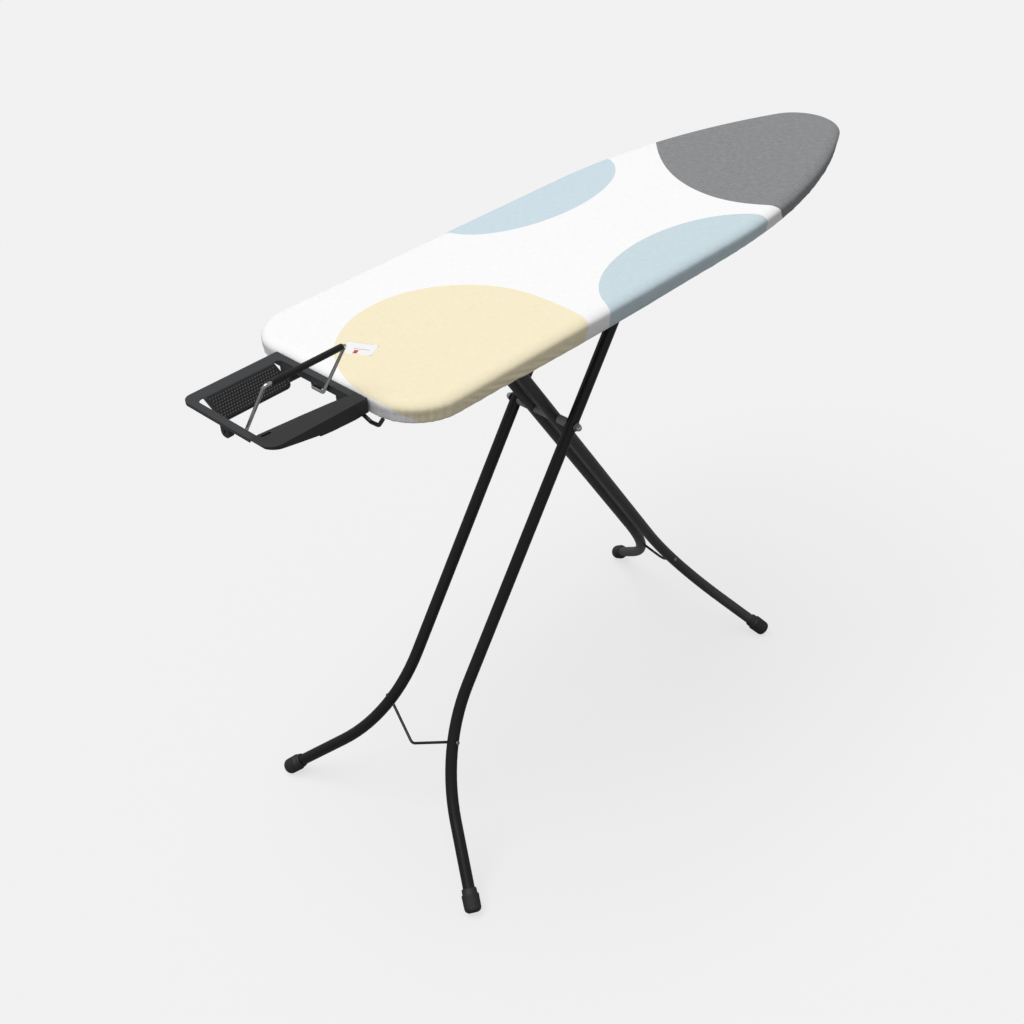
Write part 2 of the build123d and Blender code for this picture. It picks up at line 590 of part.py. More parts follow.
def make_rest():
    """Pressed frame with a down-turned lip and a sloping tongue, and the pad on the tongue."""
    x0, x1 = REST_X
    lip = 5.5
    plate = block(REST_X, (-REST_Y, REST_Y), (REST_Z - lip, REST_Z))
    corners = plate.edges().filter_by(Axis.Z).group_by(Axis.X)[0].sort_by(Axis.Y)
    plate = fillet(corners[:1], BEAM_CORNER)
    corners = plate.edges().filter_by(Axis.Z).group_by(Axis.Y)[-1].sort_by(Axis.X)
    plate = fillet(corners[:1], 16)
    under = (REST_Z - lip - 1, REST_Z - SHEET)
    hollow = block((x0 + SHEET, x1 + 1), (-REST_Y - 1, REST_Y - SHEET), under)
    hollow = fillet(hollow.edges().filter_by(Axis.Z).sort_by(Axis.X)[:2], 14)
    window = block((x0 + BAR, x1 - BAR), (-REST_Y - 1, TONGUE_TOP_Y), (REST_Z - lip - 2, REST_Z + 1))
    window = fillet(window.edges().filter_by(Axis.Z).group_by(Axis.Y)[-1], 9)
    rear_bar = block((x1 - BAR, x1), (-REST_Y, REST_Y), (REST_Z - REAR_BAR_HEIGHT, REST_Z))
    beam = make_beam()
    tray = plate - hollow - window + rear_bar
    plane, length = tongue_plane()
    tongue_width = x1 - x0 - 2 * BAR - 22
    tongue = Pos(0, length / 2, -SHEET / 2) * Box(tongue_width, length, SHEET)
    tongue = fillet(tongue.edges().filter_by(Axis.Z).group_by(Axis.Y)[-1], 9)
    tray += plane * tongue
    tray -= beam_plan()
    tray = tray.solids().sort_by(SortBy.VOLUME)[-1]
    pad = Box(tongue_width - 4, length - 4, 1.5, align=MIN_Z)
    pad = Pos(0, length / 2 + 1, RUNNING) * fillet(pad.edges().filter_by(Axis.Z), 8)
    nodes["rest_tray"] = tray
    nodes["rest_grip_pad"] = plane * pad - tray
    nodes["rest_beam"] = beam


def make_rest_supports():
    """Bent arms from the tray to the rear strap, their screws, and the hook."""
    x = REST_X[1] - BAR + 1
    low = SKIRT_Z - ARM_SHEET - 1
    strap = (STRAP_X[0] - STRAP_WIDTH / 2, STRAP_X[0] + STRAP_WIDTH / 2)
    for name, side in SIDES.items():
        span = (ARM_Y[name] - ARM_WIDTH / 2, ARM_Y[name] + ARM_WIDTH / 2)
        arm = block((x, x + ARM_SHEET), span, (low, REST_Z - REAR_BAR_HEIGHT))
        arm += block((x, strap[0]), span, (low, low + ARM_SHEET))
        arm += block((strap[0] - ARM_SHEET, strap[0]), span, (low, STRAP_Z))
        arm += block((strap[0] - ARM_SHEET, strap[1]), span, (STRAP_Z - ARM_SHEET, STRAP_Z))
        place = [spot for spot in rest_screw_places() if spot[1] * side > 0]
        nodes[f"rest_arm_{name}"] = drilled(arm, place, STRAP_Z - ARM_SHEET - 1, STRAP_Z + 1)
    heads = [make_screw(px, py, STRAP_Z - ARM_SHEET) for px, py in rest_screw_places()]
    nodes["rest_screws"] = Compound(heads)
    hook_x = REST_X[1] - 5
    route = [(hook_x, y, z) for y, z in HOOK_ROUTE]
    hook = swept(FilletPolyline(*route, radius=7), HOOK_WIRE_R)
    nodes["cord_hook"] = hook - nodes["rest_beam"]


def make_bail():
    """Wire bail that props the iron: pivot stubs, feet, leaning legs and a sleeved top bar."""
    py, pz = BAIL_PIVOT
    lean = radians(BAIL_LEAN)
    foot_y = py - BAIL_FOOT
    top = (foot_y - BAIL_LEG * sin(lean), pz + BAIL_LEG * cos(lean))
    x0, x1 = BAIL_X
    route = [
        (x0 - 12, py, pz),
        (x0, py, pz),
        (x0, foot_y, pz),
        (x0, *top),
        (x1, *top),
        (x1, foot_y, pz),
        (x1, py, pz),
        (x1 + 12, py, pz),
    ]
    wire = swept(FilletPolyline(*route, radius=4.8), BAIL_R)
    nodes["bail_wire"] = wire
    sleeve = rod_x(top[0], top[1], SLEEVE_R, x0 + 12, x1 - 6)
    sleeve = fillet(sleeve.edges().filter_by(GeomType.CIRCLE), 1)
    nodes["bail_sleeve"] = sleeve - rod_x(top[0], top[1], BAIL_R + 0.02, x0, x1)
    under_bar = REST_Z - REAR_BAR_HEIGHT
    clips = {"outer": (x0 - 15, x0 - 6, REST_Z - SHEET), "inner": (x1 + 6, x1 + 15, under_bar)}
    for place, (c0, c1, z) in clips.items():
        clip = block((c0, c1), (py - 9, py + 9), (pz - 9, z))
        clip = fillet(clip.edges().filter_by(Axis.X).group_by(Axis.Z)[0], 7)
        bore = rod_x(py, pz, BAIL_R + RUNNING, c0 - 1, c1 + 1)
        nodes[f"bail_clip_{place}"] = clip - bore


def save_nodes():
    """Writes each node, moved so that the origin is the middle of the whole footprint."""
    os.makedirs("parts", exist_ok=True)
    for name, shape in nodes.items():
        placed = Pos(-CENTRE_X, 0, 0) * shape
        placed.label = name
        export_step(placed, f"parts/{name}.step")


make_board_top()
make_straps()
make_rails()
make_hinge()
make_legs()
make_lever()
make_rest()
make_rest_supports()
make_bail()
save_nodes()

fold_travel = INNER_ANGLE - FOLDED_ANGLE
outer_folded = degrees(asin(INNER_UPPER * sin(radians(FOLDED_ANGLE)) / OUTER_UPPER))
scissor_travel = fold_travel + OUTER_ANGLE - outer_folded
print("nodes", len(nodes), "holes", len(nodes["deck_mesh"].edges().filter_by(GeomType.CIRCLE)) // 2)
print("hinge x", HINGE_X - CENTRE_X, "axle", PIVOT.X - CENTRE_X, PIVOT.Z, "crossbar x", CROSSBAR_X - CENTRE_X)
print("fold", fold_travel, "scissor", scissor_travel, "ratio", scissor_travel / fold_travel)
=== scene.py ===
# %% [markdown]
# # A folding ironing board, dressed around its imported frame
# The frame already holds every steel tube, rail, rivet and nut at its real size. This lesson adds
# the cloth, foam and felt, the ribbed rubber feet and the dotted silicone pad, and then gives every
# piece a finish. All lengths are metres, +X runs to the nose and +Z is up.

# %% Load the frame
import json
import math
import bpy
import numpy as np
from mathutils import Matrix, Vector


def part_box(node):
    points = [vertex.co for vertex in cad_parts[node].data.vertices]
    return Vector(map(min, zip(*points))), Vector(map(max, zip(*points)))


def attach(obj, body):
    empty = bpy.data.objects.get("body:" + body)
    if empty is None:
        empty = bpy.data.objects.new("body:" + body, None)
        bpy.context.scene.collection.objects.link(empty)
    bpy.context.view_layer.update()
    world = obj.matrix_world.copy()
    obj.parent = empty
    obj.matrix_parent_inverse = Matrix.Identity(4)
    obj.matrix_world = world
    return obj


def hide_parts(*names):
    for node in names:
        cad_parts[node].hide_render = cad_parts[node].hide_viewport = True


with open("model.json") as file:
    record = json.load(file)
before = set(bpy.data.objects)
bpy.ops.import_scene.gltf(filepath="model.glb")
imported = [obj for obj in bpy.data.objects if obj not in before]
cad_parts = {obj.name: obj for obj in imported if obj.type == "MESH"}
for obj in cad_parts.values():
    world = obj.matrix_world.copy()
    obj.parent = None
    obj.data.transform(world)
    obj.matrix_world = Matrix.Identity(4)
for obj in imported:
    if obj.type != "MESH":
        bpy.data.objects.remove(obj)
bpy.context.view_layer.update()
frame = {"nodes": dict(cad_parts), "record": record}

# %% [markdown]
# ## Camera
# The camera stands a little above a person's head, off the iron rest's corner, so that the whole
# printed top shows and all four feet stand in view. A constraint could aim it, but a heading, a
# downward pitch and a small roll give its three axes outright, and leave nothing to solve later.

# %% Camera
MM = 0.001
SENSOR = 36.0
LENS = 48.39
NEAREST, FURTHEST = 0.05, 60.0
EYE = Vector((-1.54024, -1.38008, 1.96985))
HEADING = math.radians(45.3003)
PITCH = math.radians(36.6813)
ROLL = math.radians(2.7993)

ahead = Vector((
    math.cos(HEADING) * math.cos(PITCH),
    math.sin(HEADING) * math.cos(PITCH),
    -math.sin(PITCH),
))
level_right = Vector((math.sin(HEADING), -math.cos(HEADING), 0.0))
level_down = ahead.cross(level_right)
right = math.cos(ROLL) * level_right + math.sin(ROLL) * level_down
down = math.cos(ROLL) * level_down - math.sin(ROLL) * level_right

lens_data = bpy.data.cameras.new("studio_camera")
lens_data.sensor_width = SENSOR
lens_data.lens = LENS
lens_data.clip_start = NEAREST
lens_data.clip_end = FURTHEST
camera = bpy.data.objects.new("studio_camera", lens_data)
turn = Matrix((right, -down, -ahead)).transposed()
camera.matrix_world = Matrix.Translation(EYE) @ turn.to_4x4()
bpy.context.scene.collection.objects.link(camera)
bpy.context.scene.camera = camera
print("camera: lens", LENS, "mm at", [round(v, 3) for v in EYE])

# %% [markdown]
# ## Node helper
# Every finish below is a small node tree. One function adds a node, sets what it is told and joins
# its inputs, so that each material reads as a short recipe. Colours are written as the hex values
# that a paint card gives, and one function turns them into the linear light that shaders use.

# %% Node and colour helpers
def linear(hex_colour):
    """sRGB hex to linear RGBA: the sRGB curve undone channel by channel."""
    channels = np.array([int(hex_colour[i : i + 2], 16) for i in (1, 3, 5)]) / 255
    straight = np.where(channels <= 0.04045, channels / 12.92, ((channels + 0.055) / 1.055) ** 2.4)
    return (*straight.tolist(), 1.0)


def add(tree, kind, inputs=None, **settings):
    """Adds one node, sets its settings, and fills or links the inputs it is given."""
    node = tree.nodes.new(kind)
    for name, value in settings.items():
        setattr(node, name, value)
    for socket, value in (inputs or {}).items():
        if isinstance(value, bpy.types.NodeSocket):
            tree.links.new(value, node.inputs[socket])
        else:
            node.inputs[socket].default_value = value
    return node


def new_finish(name, **sockets):
    """A material with one Principled shader, whose plain values are set on its own sockets."""
    material = bpy.data.materials.new(name)
    material.use_nodes = True
    tree = material.node_tree
    shader = tree.nodes["Principled BSDF"]
    for socket, value in sockets.items():
        shader.inputs[socket.replace("_", " ")].default_value = value
    return material, tree, shader


def object_place(tree):
    """Object coordinates, in metres."""
    return tree.nodes.new("ShaderNodeTexCoord").outputs["Object"]


finishes = {}

# %% [markdown]
# ## Powder coat on the legs and the iron rest
# The tubes are dipped in charge-held powder and baked. The powder flows into a satin skin with a
# faint orange peel about 1.5 mm across, and hands and boxes leave slightly shinier places on it. One
# flat grey would look like a computer's, so noise at the peel's real size lifts the surface a little.
# The outer legs are black, the inner pair and the rest a shade greyer.

# %% Powder coats
PEEL = 1.5 * MM
HANDLED_PATCH = 90 * MM
GLOSS_SPREAD = 0.07


def powder_coat(name, base, worn, roughness):
    """Satin baked powder: two close greys, orange-peel bump and uneven gloss."""
    material, tree, shader = new_finish(name, Roughness=roughness, IOR=1.5)
    place = object_place(tree)
    patches = add(tree, "ShaderNodeTexNoise", {"Vector": place, "Scale": 1 / HANDLED_PATCH, "Detail": 3.0})
    tint = add(tree, "ShaderNodeMix", data_type="RGBA", inputs={"Factor": patches.outputs["Fac"]})
    tint.inputs["A"].default_value = linear(base)
    tint.inputs["B"].default_value = linear(worn)
    tree.links.new(tint.outputs["Result"], shader.inputs["Base Color"])
    gloss = add(tree, "ShaderNodeMapRange", {"Value": patches.outputs["Fac"],
                                             "To Min": roughness - GLOSS_SPREAD,
                                             "To Max": roughness + GLOSS_SPREAD})
    tree.links.new(gloss.outputs["Result"], shader.inputs["Roughness"])
    peel = add(tree, "ShaderNodeTexNoise", {"Vector": place, "Scale": 1 / PEEL, "Detail": 2.0})
    bump = add(tree, "ShaderNodeBump", {"Height": peel.outputs["Fac"], "Strength": 0.25,
                                        "Distance": 0.05 * MM})
    tree.links.new(bump.outputs["Normal"], shader.inputs["Normal"])
    finishes[name] = material
    return material


powder_coat("black_tube", "#060607", "#0B0B0C", 0.34)
powder_coat("grey_tube", "#333436", "#3D3E40", 0.36)
powder_coat("rest_paint", "#2E2F31", "#37393B", 0.42)
powder_coat("black_wire", "#101011", "#19191A", 0.34)
powder_coat("deck_steel", "#A9ABAC", "#B8BABB", 0.45)
print("powder coats:", sorted(finishes))

# %% [markdown]
# ## Plated steel
# Straps, rails and brackets are folded from zinc-plated sheet: a cool metal with faint crystals and
# rolling lines. Screws and pins are plated the same way and come out darker. The bail and the dome
# nuts are polished and chromed, so they show little but their surroundings. Real brushing could be
# cut into the mesh, but it is finer than a hair, so stretched noise gives it as bump.

# %% Plated steel
GRAIN = 0.6 * MM
CRYSTAL_CLOUD = 12 * MM
ALONG_ROLLING = 0.05


def plated_steel(name, light, dark, roughness, spread):
    """Bare plated metal: cloudy tint and roughness, and fine rolling lines along X."""
    material, tree, shader = new_finish(name, Metallic=1.0, Roughness=roughness)
    place = object_place(tree)
    cloud = add(tree, "ShaderNodeTexNoise", {"Vector": place, "Scale": 1 / CRYSTAL_CLOUD, "Detail": 4.0})
    tint = add(tree, "ShaderNodeMix", data_type="RGBA", inputs={"Factor": cloud.outputs["Fac"]})
    tint.inputs["A"].default_value = linear(dark)
    tint.inputs["B"].default_value = linear(light)
    tree.links.new(tint.outputs["Result"], shader.inputs["Base Color"])
    gloss = add(tree, "ShaderNodeMapRange", {"Value": cloud.outputs["Fac"], "To Min": roughness - spread,
                                             "To Max": roughness + spread})
    tree.links.new(gloss.outputs["Result"], shader.inputs["Roughness"])
    stretch = add(tree, "ShaderNodeMapping", {"Vector": place, "Scale": (ALONG_ROLLING, 1.0, 1.0)})
    lines = add(tree, "ShaderNodeTexNoise", {"Vector": stretch.outputs["Vector"], "Scale": 1 / GRAIN})
    bump = add(tree, "ShaderNodeBump", {"Height": lines.outputs["Fac"], "Strength": 0.15,
                                        "Distance": 0.03 * MM})
    tree.links.new(bump.outputs["Normal"], shader.inputs["Normal"])
    finishes[name] = material
    return material


plated_steel("zinc_steel", "#C3C6C8", "#9EA2A5", 0.38, 0.08)
plated_steel("screw_steel", "#A7A8AA", "#7E8083", 0.32, 0.08)
plated_steel("spring_steel", "#8B8C8E", "#6D6E70", 0.30, 0.06)
plated_steel("chrome", "#DADCDE", "#C9CBCD", 0.12, 0.04)
print("finishes with the plated metals:", len(finishes))

# %% [markdown]
# ## Moulded plastic, rubber and silicone
# The nylon mouldings come from spark-eroded tools, which leave a fine matt grain. The feet are a
# softer, duller rubber. The silicone on the bail and on the tongue is black with a soft shine. One
# recipe does for all three: only the grain's depth, the gloss and the IOR tell them apart.

# %% Mouldings
EROSION = 0.8 * MM
FLOW_MARK = 20 * MM


def moulding(name, base, lighter, roughness, ior, grain_depth):
    """Moulded surface: slow tint changes and the tool's fine grain as bump."""
    material, tree, shader = new_finish(name, Roughness=roughness, IOR=ior)
    place = object_place(tree)
    flow = add(tree, "ShaderNodeTexNoise", {"Vector": place, "Scale": 1 / FLOW_MARK, "Detail": 2.0})
    tint = add(tree, "ShaderNodeMix", data_type="RGBA", inputs={"Factor": flow.outputs["Fac"]})
    tint.inputs["A"].default_value = linear(base)
    tint.inputs["B"].default_value = linear(lighter)
    tree.links.new(tint.outputs["Result"], shader.inputs["Base Color"])
    grain = add(tree, "ShaderNodeTexNoise", {"Vector": place, "Scale": 1 / EROSION, "Detail": 3.0})
    bump = add(tree, "ShaderNodeBump", {"Height": grain.outputs["Fac"], "Strength": 0.4,
                                        "Distance": grain_depth})
    tree.links.new(bump.outputs["Normal"], shader.inputs["Normal"])
    finishes[name] = material
    return material


moulding("rest_plastic", "#202122", "#29292B", 0.48, 1.53, 0.06 * MM)
moulding("black_plastic", "#141415", "#1D1D1E", 0.45, 1.53, 0.05 * MM)
moulding("grey_plastic", "#8A8B8D", "#97989A", 0.50, 1.53, 0.05 * MM)
moulding("foot_rubber", "#1C1C1D", "#262627", 0.62, 1.52, 0.08 * MM)
moulding("silicone", "#111112", "#191919", 0.40, 1.41, 0.03 * MM)
print("finishes with the mouldings:", len(finishes))

# %% [markdown]
# ## Foam, felt, elastic and label
# Under the cover lie a pressed felt and a sheet of foam. Both are pale and matt. The elastic in the
# hem is braided. Hair curves could show their fibres, but they hide under the cover, so mottled
# noise with a fuzzy bump is enough.

# %% Soft finishes
def fibre(name, base, shade, scale, depth, sheen):
    """Matt fibrous stuff: fine mottled tint and a fuzzy bump."""
    material, tree, shader = new_finish(name, Roughness=0.92, Sheen_Weight=sheen)
    place = object_place(tree)
    fuzz = add(tree, "ShaderNodeTexNoise", {"Vector": place, "Scale": 1 / scale, "Detail": 6.0,
                                            "Roughness": 0.7})
    tint = add(tree, "ShaderNodeMix", data_type="RGBA", inputs={"Factor": fuzz.outputs["Fac"]})
    tint.inputs["A"].default_value = linear(shade)
    tint.inputs["B"].default_value = linear(base)
    tree.links.new(tint.outputs["Result"], shader.inputs["Base Color"])
    bump = add(tree, "ShaderNodeBump", {"Height": fuzz.outputs["Fac"], "Strength": 0.6,
                                        "Distance": depth})
    tree.links.new(bump.outputs["Normal"], shader.inputs["Normal"])
    finishes[name] = material
    return material


fibre("foam", "#EDE8D9", "#DCD5C2", 1.6 * MM, 0.4 * MM, 0.0)
fibre("felt", "#D8D8D3", "#BEBEBA", 2.2 * MM, 0.3 * MM, 0.2)
fibre("elastic", "#E9E9E6", "#CFCFCC", 0.9 * MM, 0.2 * MM, 0.1)
print("finishes with the soft ones:", len(finishes))

# %% [markdown]
# ## The board's plan
# The cover, the foam and the felt all share one outline: a square end with round corners, straight
# sides, long shallow arcs and a round nose. It is five arcs, and the straight stretches are simply
# the gaps between them. Columns of the surfaces stand closer where cloth gathers, at the square end
# and the nose, and further apart along the plain sides.

# %% Board outline
low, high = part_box("cover")
SQUARE_END = low.x
LENGTH = high.x - low.x
HALF = (high.y - low.y) / 2
TOP = high.z
HEM = low.z
REAR_CORNER = 80 * MM
NOSE_RADIUS = 82 * MM
TAPER_START = 700 * MM
REAR_BUSY = 170 * MM
NOSE_BUSY = 1080 * MM
STEP_FADE = 60 * MM


def board_outline(inset, rear_step, side_step, nose_step):
    """Outline points, outward directions and distance along it.

    Each arc is centre + radius * (cos a, sin a); the outward direction is (cos a, sin a). The points
    are then respaced so that the gap between neighbours follows the wanted step at each place,
    with the left side an exact mirror of the right, so that the halves meet on the middle line.
    """
    run = LENGTH - NOSE_RADIUS - TAPER_START
    side = (run**2 + HALF**2 - NOSE_RADIUS**2) / (2 * (HALF - NOSE_RADIUS))
    join = math.atan2(side - HALF, run)
    quarter = math.pi / 2
    arcs = [
        (REAR_CORNER, REAR_CORNER - HALF, REAR_CORNER, 2 * quarter, 3 * quarter),
        (TAPER_START, side - HALF, side, -quarter, -join),
        (LENGTH - NOSE_RADIUS, 0.0, NOSE_RADIUS, -join, join),
        (TAPER_START, HALF - side, side, join, quarter),
        (REAR_CORNER, HALF - REAR_CORNER, REAR_CORNER, quarter, 2 * quarter),
    ]
    middle = np.array([[inset, 0.0]])
    backwards = np.array([[-1.0, 0.0]])
    points, outward = [middle], [backwards]
    for cx, cy, radius, start, end in arcs:
        angle = np.linspace(start, end, 400)
        facing = np.stack([np.cos(angle), np.sin(angle)], 1)
        points.append(np.array([cx, cy]) + (radius - inset) * facing)
        outward.append(facing)
    points = np.concatenate(points + [middle])
    outward = np.concatenate(outward + [backwards])
    gaps = np.hypot(*np.diff(points, axis=0).T)
    along = np.concatenate([[0], np.cumsum(gaps)])
    fine = np.linspace(0, along[-1], 6000)
    x = np.interp(fine, along, points[:, 0])
    rear = np.clip((REAR_BUSY - x) / STEP_FADE, 0, 1)
    nose = np.clip((x - NOSE_BUSY) / STEP_FADE, 0, 1)
    step = side_step + rear * (rear_step - side_step) + nose * (nose_step - side_step)
    count = np.concatenate([[0], np.cumsum(np.diff(fine) / step[1:])])
    columns = 2 * int(count[-1] / 2)
    at = np.interp(np.linspace(0, count[-1], columns + 1), count, fine)
    at = ((at + along[-1] - at[::-1]) / 2)[:-1]
    placed = np.stack([np.interp(at, along, points[:, i]) for i in (0, 1)], 1)
    facing = np.stack([np.interp(at, along, outward[:, i]) for i in (0, 1)], 1)
    facing /= np.hypot(*facing.T)[:, None]
    placed[:, 0] += SQUARE_END
    return placed, facing, at


edge, facing, along = board_outline(0.0, 2.2 * MM, 4.4 * MM, 2.8 * MM)
print("outline:", len(edge), "columns,", round(along[-1], 3), "m round")

# %% [markdown]
# ## Turning arrays into meshes
# A surface here is an array of rows and columns of points. A loop could add its faces one by one, but
# arrays handed over whole are a hundred times as fast. This helper makes the faces between the points,
# closes the columns into a ring where asked, merges points that fall together, such as along the
# board's middle line, and stores any named number per point for the finish to read.

# %% Grid to mesh
def grid_mesh(name, points, ring, numbers=None, merge=0.05 * MM):
    """Mesh from points[row, column]: quads between neighbours, with the last column joined to the
    first where ring is true. Doubled points are merged after the per-point numbers are stored."""
    rows, columns = points.shape[:2]
    index = np.arange(rows * columns).reshape(rows, columns)
    ahead_index = np.roll(index, -1, axis=1) if ring else index[:, 1:]
    here = index if ring else index[:, :-1]
    quads = np.stack([here[:-1], ahead_index[:-1], ahead_index[1:], here[1:]], -1).reshape(-1, 4)
    mesh = bpy.data.meshes.new(name)
    mesh.vertices.add(rows * columns)
    mesh.vertices.foreach_set("co", points.reshape(-1).astype(np.float32))
    mesh.loops.add(quads.size)
    mesh.loops.foreach_set("vertex_index", quads.reshape(-1).astype(np.int32))
    mesh.polygons.add(len(quads))
    mesh.polygons.foreach_set("loop_start", np.arange(0, quads.size, 4, dtype=np.int32))
    mesh.polygons.foreach_set("use_smooth", np.ones(len(quads), dtype=bool))
    mesh.update(calc_edges=True)
    for key, values in (numbers or {}).items():
        layer = mesh.attributes.new(key, "FLOAT", "POINT")
        layer.data.foreach_set("value", values.reshape(-1).astype(np.float32))
    piece = bpy.data.objects.new(name, mesh)
    bpy.context.scene.collection.objects.link(piece)
    weld = piece.modifiers.new("weld", "WELD")
    weld.merge_threshold = merge
    apply_modifiers(piece)
    return piece


def apply_modifiers(piece):
    """Keeps the shape that the modifiers give, and drops the modifiers."""
    view = bpy.context.evaluated_depsgraph_get()
    shaped = bpy.data.meshes.new_from_object(piece.evaluated_get(view))
    piece.modifiers.clear()
    old = piece.data
    piece.data = shaped
    bpy.data.meshes.remove(old)
    piece.data.name = piece.name
    return piece


def count_faces(piece):
    """Triangles in a piece."""
    piece.data.calc_loop_triangles()
    return len(piece.data.loop_triangles)


# %% [markdown]
# ## The printed cotton cover
# The real cover is one piece of cotton, printed flat, then sewn with an elastic in its hem and pulled
# over the board. It could be the plain packed shell with noise on it, but gathers are shape, so
# the cloth is built as a surface: each column starts on the board's middle line, runs out to the
# edge, rolls over it, drops down the skirt and turns under as the hem. Gathers are deepest at the
# square end and the nose, where the elastic takes up the fullness of a curve.

# %% Cover profile
EDGE_WIDE = 20 * MM
EDGE_DROP = 11 * MM
HEM_ROUND = 3 * MM
HEM_RUN = 20 * MM
TOP_ROWS = 22


def cover_profile():
    """Rows of the cover beyond the flat top: (outward offset, height, cloth run past the flat).

    A quarter ellipse over the padded edge, a straight skirt, a small quarter circle, and a level
    hem. The ellipse is wide and shallow, because stretched cloth squeezes the foam's edge round.
    """
    over = np.linspace(0, math.pi / 2, 13)[1:]
    drop = np.linspace(0, 1, 9)[1:]
    under = np.linspace(0, math.pi / 2, 4)[1:]
    inward = np.linspace(0, 1, 6)[1:]
    skirt = TOP - EDGE_DROP - HEM - HEM_ROUND
    bent = np.hypot(np.diff(EDGE_WIDE * np.sin([0, *over])), np.diff(EDGE_DROP * np.cos([0, *over])))
    rolled = np.cumsum(bent)
    offset = np.concatenate([
        EDGE_WIDE * (np.sin(over) - 1),
        0 * drop,
        HEM_ROUND * (np.cos(under) - 1),
        -HEM_ROUND - HEM_RUN * inward,
    ])
    height = np.concatenate([
        TOP - EDGE_DROP * (1 - np.cos(over)),
        TOP - EDGE_DROP - skirt * drop,
        HEM + HEM_ROUND * (1 - np.sin(under)),
        HEM + 0.4 * MM * inward,
    ])
    run = np.concatenate([
        rolled,
        rolled[-1] + skirt * drop,
        rolled[-1] + skirt + HEM_ROUND * under,
        rolled[-1] + skirt + HEM_ROUND * math.pi / 2 + HEM_RUN * inward,
    ])
    return offset, height, run


offset, height, run = cover_profile()
print("cover profile:", len(offset), "rows past the flat,", round(run[-1] / MM, 1), "mm of cloth")

# %% Gathers and creases
rng = np.random.default_rng(7)


def smooth(low_value, high_value, value):
    """0 below the low value, 1 above the high one, and a smooth step between."""
    t = np.clip((value - low_value) / (high_value - low_value), 0, 1)
    return t * t * (3 - 2 * t)


def pleats(distance, widths):
    """Rounded ridges with narrow valleys: the mean of 1 - |sin| waves of several widths, each with
    its own start and a slow drift, so that no two gathers are alike. Between -0.5 and 0.5."""
    total = np.zeros_like(distance)
    for width in widths:
        drift = 0.9 * np.sin(2 * math.pi * distance / (width * 7.3) + rng.uniform(0, 6.28))
        total += 1 - 1.4 * np.abs(np.sin(math.pi * distance / width + drift + rng.uniform(0, 3.14)))
    return total / len(widths)


def ripples(x, y, lengths, height_each):
    """Low waves across the cloth: a sum of sines in seeded directions."""
    total = np.zeros_like(x)
    for length in lengths:
        angle = rng.uniform(0, math.pi)
        phase = rng.uniform(0, 2 * math.pi)
        total += np.sin(2 * math.pi * (x * math.cos(angle) + y * math.sin(angle)) / length + phase)
    return height_each * total


FINE_PLEATS = (7 * MM, 10 * MM, 15 * MM)
BROAD_PLEATS = (31 * MM, 47 * MM, 74 * MM)
GATHER_DEPTH = 2.6 * MM
MOST_IN = 2.0 * MM
MOST_OUT = 3.0 * MM
fine_pleats = pleats(along, FINE_PLEATS)
broad_pleats = pleats(along, BROAD_PLEATS)
from_end = edge[:, 0] - SQUARE_END
rear_fullness = 1 - smooth(60 * MM, 150 * MM, from_end)
nose_fullness = smooth(1120 * MM, 1200 * MM, from_end)
gathers = fine_pleats * (0.10 + 0.90 * rear_fullness + 0.35 * nose_fullness) + 0.45 * broad_pleats
print("gathers:", round(float(np.ptp(gathers)), 2), "of", GATHER_DEPTH / MM, "mm")

# %% Cover surface
TOP_WAVES = (0.11, 0.16, 0.23, 0.31)
WAVE_HEIGHT = 0.09 * MM
DISH = 0.35 * MM
ELASTIC_PULL = 1.6 * MM


def cover_points():
    """points[row, column]. The top rows go straight from the middle line to the flat's edge. Past
    it, a point is outline + outward * (offset + gather * depth), and depth grows down the skirt."""
    spine_x = np.clip(edge[:, 0], SQUARE_END + HALF, SQUARE_END + LENGTH - NOSE_RADIUS)
    spine = np.stack([spine_x, np.zeros(len(edge))], 1)
    flat_edge = edge - facing * EDGE_WIDE
    share = np.linspace(0, 1, TOP_ROWS)[:, None, None]
    top = spine + (flat_edge - spine) * share
    inland = 1 - share[..., 0] ** 4
    low_waves = ripples(top[..., 0], top[..., 1], TOP_WAVES, WAVE_HEIGHT)
    top_z = TOP - DISH * inland + low_waves * inland
    deep = smooth(16 * MM, 40 * MM, run)[:, None]
    push = gathers[None, :] * deep * GATHER_DEPTH
    pulled = -ELASTIC_PULL * smooth(22 * MM, 48 * MM, run)[:, None] * (0.6 + nose_fullness[None, :])
    level = np.abs(offset[:, None]) > HEM_ROUND * 0.9
    past_skirt = (run > run[-1] - HEM_RUN - 1e-6)[:, None]
    sideways = np.clip(np.where(past_skirt, pulled, push + pulled), -MOST_IN, MOST_OUT)
    lift = np.where(past_skirt & level, 0.6 * push + 0.2 * MM, 0.45 * push)
    beyond = edge[None] + facing[None] * (offset[:, None] + sideways)[..., None]
    beyond_z = height[:, None] + lift
    xy = np.concatenate([top, beyond])
    z = np.concatenate([top_z, beyond_z])
    return np.concatenate([xy, z[..., None]], -1)


cover_grid = cover_points()
print("cover grid:", cover_grid.shape[0], "x", cover_grid.shape[1])

# %% [markdown]
# ## The print
# The pattern is four big soft pebbles: yellow at the iron rest, two of light blue on the long sides
# and grey over the nose. It was printed before sewing, so it has to run on unbroken over the edge.
# Each pebble is a formula in the flat cloth's own place: where it lies on the cutting table. The
# grid carries one number per point for each pebble, its distance inside the pebble's edge, and the
# finish turns that number into a crisp edge.

